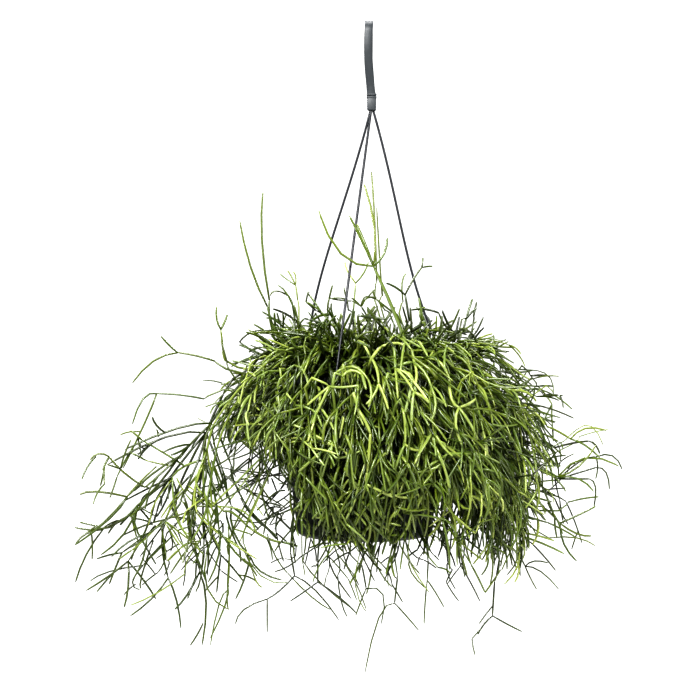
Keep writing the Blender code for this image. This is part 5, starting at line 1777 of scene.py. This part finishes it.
@dataclass(frozen=True)
class Soil:
    """The potting soil, with an uneven crumbly top."""

    pot: HangingPot
    drop: float = 0.012
    crumb: float = 0.0022
    coarse: float = 60.0
    fine: float = 210.0
    fine_share: float = 0.7
    highest: float = 0.2
    gap: float = 0.0003
    floor_inset: float = 0.0016
    rings: int = 30
    sides: int = 96

    def mesh(self) -> bpy.types.Mesh:
        """Builds the soil.

        Returns:
            A closed mesh that fills the pot to just below its rim.
        """
        top = self.pot.wall_radius(-self.drop) - self.pot.wall - self.gap
        floor = -self.pot.place.height + self.pot.foot_recess + self.pot.floor + self.gap
        low = self.pot.wall_radius(floor) - self.pot.wall - self.gap - self.floor_inset
        profile = [Vector((top * i / self.rings, 0, -self.drop)) for i in range(self.rings + 1)]
        profile += [Vector((low, 0, floor)), Vector((0, 0, floor))]
        bm = turned(profile, self.sides)
        for vert in bm.verts:
            radius = math.hypot(vert.co.x, vert.co.y)
            if vert.co.z > -self.drop - 0.001 and radius < top - 0.002:
                lumps = noise.noise(vert.co * self.coarse)
                lumps += self.fine_share * noise.noise(vert.co * self.fine)
                vert.co.z += self.crumb * min(lumps, self.highest)
        return self.pot.place.settle(mesh_from(bm, "soil", 60))


@dataclass(frozen=True)
class Hanger:
    """The moulded hanger: a strap bent into a hook, its socket block and three strands."""

    place: PotPlace
    pot: HangingPot
    strap_width: float = 0.0078
    strap_thick: float = 0.0026
    seat_flat: float = 0.005
    inner_half: float = 0.0095
    arc_drop: float = 0.010
    tip_drop: float = 0.013
    tip_spread: float = 0.0004
    arc_steps: int = 12
    lean: float = 0.0024
    bow: float = 0.0014
    length: float = 0.0665
    ease: tuple[Pair, ...] = ((-0.0010, 0.92), (-0.0060, 0.62), (-0.0098, 0.36))
    strap_root: float = 0.0048
    block_side: float = 0.0086
    block_height: float = 0.0160
    collar_side: float = 0.0094
    collar_height: float = 0.0044
    socket_depth: float = 0.006
    strand_radius: float = 0.00118
    knob: tuple[Pair, ...] = (
        (0.0002, 0.9), (0.0006, 1.0), (0.0018, 1.0), (0.0023, 0.8), (0.0025, 0.4))
    knob_radius: float = 0.0024
    knob_gap: float = 0.0003
    above_hole: float = 0.003
    socket_fill: float = 0.9
    strand_steps: int = 36
    ease_radius: float = 0.006
    strap_softness: float = 0.0005
    groove: Pair = (0.0018, 0.0025)  # its top and bottom below the collar's top
    groove_depth: float = 0.0012

    def strap_line(self) -> list[Vector]:
        """Works out the strap's centre line seen from its side.

        Returns:
            Its points as depth and height, from the block over the bend to the tip.
        """
        middle = self.inner_half + self.strap_thick / 2
        top = self.strap_thick / 2
        half = self.seat_flat / 2
        eases = [Vector((depth, -share * self.length)) for depth, share in self.ease]
        root = Vector((0, -self.length - self.strap_root))
        low = eased([root, *eases, Vector((-middle, top - self.arc_drop))], self.ease_radius, 4)
        arc = []
        for side in (-1, 1):
            for i in range(self.arc_steps + 1):
                turn = math.radians(90 * (i if side < 0 else self.arc_steps - i) / self.arc_steps)
                depth = side * (half + (middle - half) * math.cos(turn))
                arc.append(Vector((depth, top - self.arc_drop * (1 - math.sin(turn)))))
        return low[:-1] + arc + [Vector((middle + self.tip_spread, top - self.tip_drop))]

    def strap(self, bm: bmesh.types.BMesh) -> None:
        """Adds the strap to a bmesh, with softened edges.

        Args:
            bm: The hook's bmesh.
        """
        line = self.strap_line()
        left, right = [], []
        for i, point in enumerate(line):
            along = (line[min(i + 1, len(line) - 1)] - line[max(i - 1, 0)]).normalized()
            side = Vector((-along.y, along.x)) * self.strap_thick / 2
            left.append(point + side)
            right.append(point - side)
        ring = [bm.verts.new((-self.strap_width / 2, place.x, place.y)) for place in left + right[::-1]]
        face = bm.faces.new(ring)
        grown = bmesh.ops.extrude_face_region(bm, geom=[face], use_keep_orig=True)["geom"]
        verts = [item for item in grown if isinstance(item, bmesh.types.BMVert)]
        bmesh.ops.translate(bm, vec=(self.strap_width, 0, 0), verts=verts)
        bmesh.ops.recalc_face_normals(bm, faces=bm.faces)
        rims = [edge for edge in bm.edges if abs(edge.verts[0].co.x - edge.verts[1].co.x) < DOUBLES]
        bmesh.ops.bevel(
            bm, geom=rims, offset=self.strap_softness, segments=2, affect="EDGES", profile=0.5, material=-1)
        for vert in bm.verts:
            share = min(max(-vert.co.z / self.length, 0.0), 1.0)
            vert.co.x += self.lean * share * share - self.bow * math.sin(math.pi * share)

    def block(self, bm: bmesh.types.BMesh) -> None:
        """Adds the socket block, its collar and its ridges to a bmesh.

        Args:
            bm: The hook's bmesh.
        """
        top = -self.length
        bands = (
            (self.block_side, top - self.collar_height * 0.5, top - self.block_height, 0.0009),
            (self.collar_side, top, top - self.groove[0], 0.0005),
            (self.collar_side, top - self.groove[1], top - self.collar_height, 0.0005),
            (self.block_side - self.groove_depth, top, top - self.collar_height, 0.0003),
        )
        for side, high, low, soft in bands:
            cube = bmesh.ops.create_cube(bm, size=1)["verts"]
            bmesh.ops.scale(bm, vec=(side, side, high - low), verts=cube)
            bmesh.ops.translate(bm, vec=(self.lean, 0, (high + low) / 2), verts=cube)
            edges = list(dict.fromkeys(edge for vert in cube for edge in vert.link_edges))
            bmesh.ops.bevel(bm, geom=edges, offset=soft, segments=3, affect="EDGES", profile=0.5, material=-1)

    def hook_mesh(self) -> bpy.types.Mesh:
        """Builds the strap and its block.

        Returns:
            Their mesh.
        """
        bm = bmesh.new()
        self.strap(bm)
        self.block(bm)
        return mesh_from(bm, "hanger_hook", 35)

    def strands(self) -> Strands:
        """Works out where the strands run."""
        bottom = -self.place.axis.z - self.length - self.block_height
        return Strands(Vector((self.lean - self.place.axis.x, 0, bottom)))

    def strand_mesh(self, index: int) -> bpy.types.Mesh:
        """Builds a strand from the block down through the rim to its knob.

        Args:
            index: Which of the three strands it is.

        Returns:
            Its mesh.
        """
        steps = self.strand_steps
        strands = self.strands()
        bottom = strands.top.z
        line = [strands.centre(index, bottom) + UP * self.socket_depth * self.socket_fill]
        line += [strands.centre(index, bottom * (1 - i / steps)) for i in range(steps)]
        foot = strands.centre(index, 0)
        under = -self.pot.rim_thick - self.knob_gap
        line += [foot + UP * self.above_hole, foot + UP * under]
        radii = [self.strand_radius] * len(line)
        line += [foot + UP * (under - drop) for drop, _ in self.knob]
        radii += [self.knob_radius * share for _, share in self.knob]
        return self.place.settle(tube(f"strand_{index + 1}", line, radii, 2))


# Studio


@dataclass(frozen=True)
class Studio:
    """A pale floor, soft lights and a camera where the photograph was taken from."""

    frame_pixels: int = 696
    seat_pixel: Pair = (369.0, 24.2)
    pixel: float = 0.00095
    distance: float = 1.304
    floor_drop: float = 1.15
    floor_radius: float = 14.0
    floor_colour: Colour = (0.50, 0.50, 0.49)
    surround: float = 0.025  # how strongly the white surround lights the plant
    aim: Place = (0, 0, -0.36)
    lamps: tuple[tuple[str, Place, float, float], ...] = (
        ("key", (-0.30, -1.20, 0.50), 0.40, 33.0),
        ("front", (0.35, -1.25, -0.80), 0.8, 3.5),
        ("right", (1.35, -0.40, -0.20), 0.8, 12.0),
        ("left", (-1.35, 0.05, 0.0), 0.8, 12.0),
        ("top", (0.0, 0.20, 0.85), 0.5, 10.0),
        ("back", (-0.10, 1.45, -0.10), 0.8, 26.0),
    )

    def camera(self) -> None:
        """Adds the camera."""
        data = bpy.data.cameras.new("camera")
        half = self.frame_pixels / 2
        data.angle = 2 * math.atan(half * self.pixel / self.distance)
        data.clip_end = 100
        camera = add_piece("camera", data)
        x = -(self.seat_pixel[0] - half) * self.pixel
        z = -(half - self.seat_pixel[1]) * self.pixel
        camera.location = (x, -self.distance, z)
        camera.rotation_euler = (math.radians(90), 0, 0)
        bpy.context.scene.camera = camera

    def light(self, name: str, place: Sequence[float], size: float, watts: float) -> None:
        """Adds a softbox that faces the plant.

        Args:
            name: The light's name.
            place: Where it stands.
            size: The side of its square face.
            watts: Its power.
        """
        data = bpy.data.lights.new(name, "AREA")
        data.shape = "SQUARE"
        data.size = size
        data.energy = watts
        lamp = add_piece(name, data)
        lamp.location = place
        aim = Vector(self.aim) - Vector(place)
        lamp.rotation_euler = aim.to_track_quat("-Z", "Y").to_euler()

    def world(self) -> None:
        """Sets a white surround that lights the plant only a little."""
        world = bpy.data.worlds.new("surround")
        bpy.context.scene.world = world
        world.use_nodes = True
        nodes = Nodes(world.node_tree)
        seen = nodes.add("LightPath").outputs["Is Camera Ray"]
        strength = nodes.put("MapRange", {"Value": seen, "To Min": self.surround, "To Max": 1.0})
        nodes.feed(world.node_tree.nodes["Background"], {"Color": (1, 1, 1, 1), "Strength": strength})

    def floor(self) -> None:
        """Adds the pale floor."""
        bm = bmesh.new()
        bmesh.ops.create_circle(bm, cap_ends=True, segments=96, radius=self.floor_radius)
        bmesh.ops.translate(bm, vec=(0, 0, -self.floor_drop), verts=bm.verts)
        floor = add_piece("floor", mesh_from(bm, "floor"))
        nodes, shader, material = new_material("pale_floor")
        seen = nodes.add("LightPath").outputs["Is Camera Ray"]
        nodes.feed(shader, {
            "Base Color": (*self.floor_colour, 1), "Roughness": 0.9, "Emission Color": seen,
            "Emission Strength": 1.0})
        floor.data.materials.append(material)

    def build(self) -> None:
        """Sets the whole studio."""
        self.camera()
        self.world()
        self.floor()
        for lamp in self.lamps:
            self.light(*lamp)
        bpy.context.scene.view_settings.view_transform = "Standard"
        bpy.context.scene.view_settings.look = "High Contrast"


def dress(piece: bpy.types.Object, material: bpy.types.Material, node: str) -> None:
    """Gives a piece its finish and its place in the frame, and reports it.

    Args:
        piece: The piece.
        material: Its finish.
        node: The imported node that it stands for.
    """
    piece.data.materials.clear()
    piece.data.materials.append(material)
    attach(piece, "root")
    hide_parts(node)
    LOG.info("%s: %d faces", piece.name, len(piece.data.polygons))


def main() -> None:
    """Builds the looks of the hanging cactus and its studio."""
    logging.basicConfig(level=logging.INFO, format="%(name)s: %(message)s")
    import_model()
    Studio().build()
    mottle = mottle_group()
    scuffs = scuff_group()
    place = PotPlace.read()
    mound = Mound()

    pot = HangingPot(place)
    black = MouldedPlastic(
        "pot_black", (0.018, 0.023, 0.021), dust=(0.085, 0.090, 0.080), roughness=0.40, dust_amount=0.30)
    dress(add_piece("hanging_pot", pot.mesh()), black.material(scuffs), "pot")
    dress(add_piece("peat", Soil(pot).mesh()), DampPeat().material(mottle), "soil")

    hanger = Hanger(place, pot)
    grey = MouldedPlastic(
        "hanger_grey", (0.025, 0.030, 0.034), dust=(0.08, 0.09, 0.10), roughness=0.48, dust_amount=0.25,
        scale=260.0).material(scuffs)
    dark = MouldedPlastic(
        "strand_grey", (0.017, 0.019, 0.023), dust=(0.05, 0.055, 0.06), roughness=0.42, dust_amount=0.25,
        scale=260.0).material(scuffs)
    dress(add_piece("strap_hook", hanger.hook_mesh()), grey, "hanger_hook")
    for index in range(3):
        strand = add_piece(f"strand_{index + 1}", hanger.strand_mesh(index))
        dress(strand, dark, f"hanger_strand_{index + 1}")

    skin = WaxySkin().material(mottle)
    body = StemBody()
    for number in range(9):
        clump = Clump(number, mound, hanger.strands())
        mesh = body.bent(f"stems_{number + 1}", clump.grow())
        dress(add_piece(mesh.name, place.settle(mesh)), skin, f"stem_clump_{number + 1}")


if __name__ == "__main__":
    main()
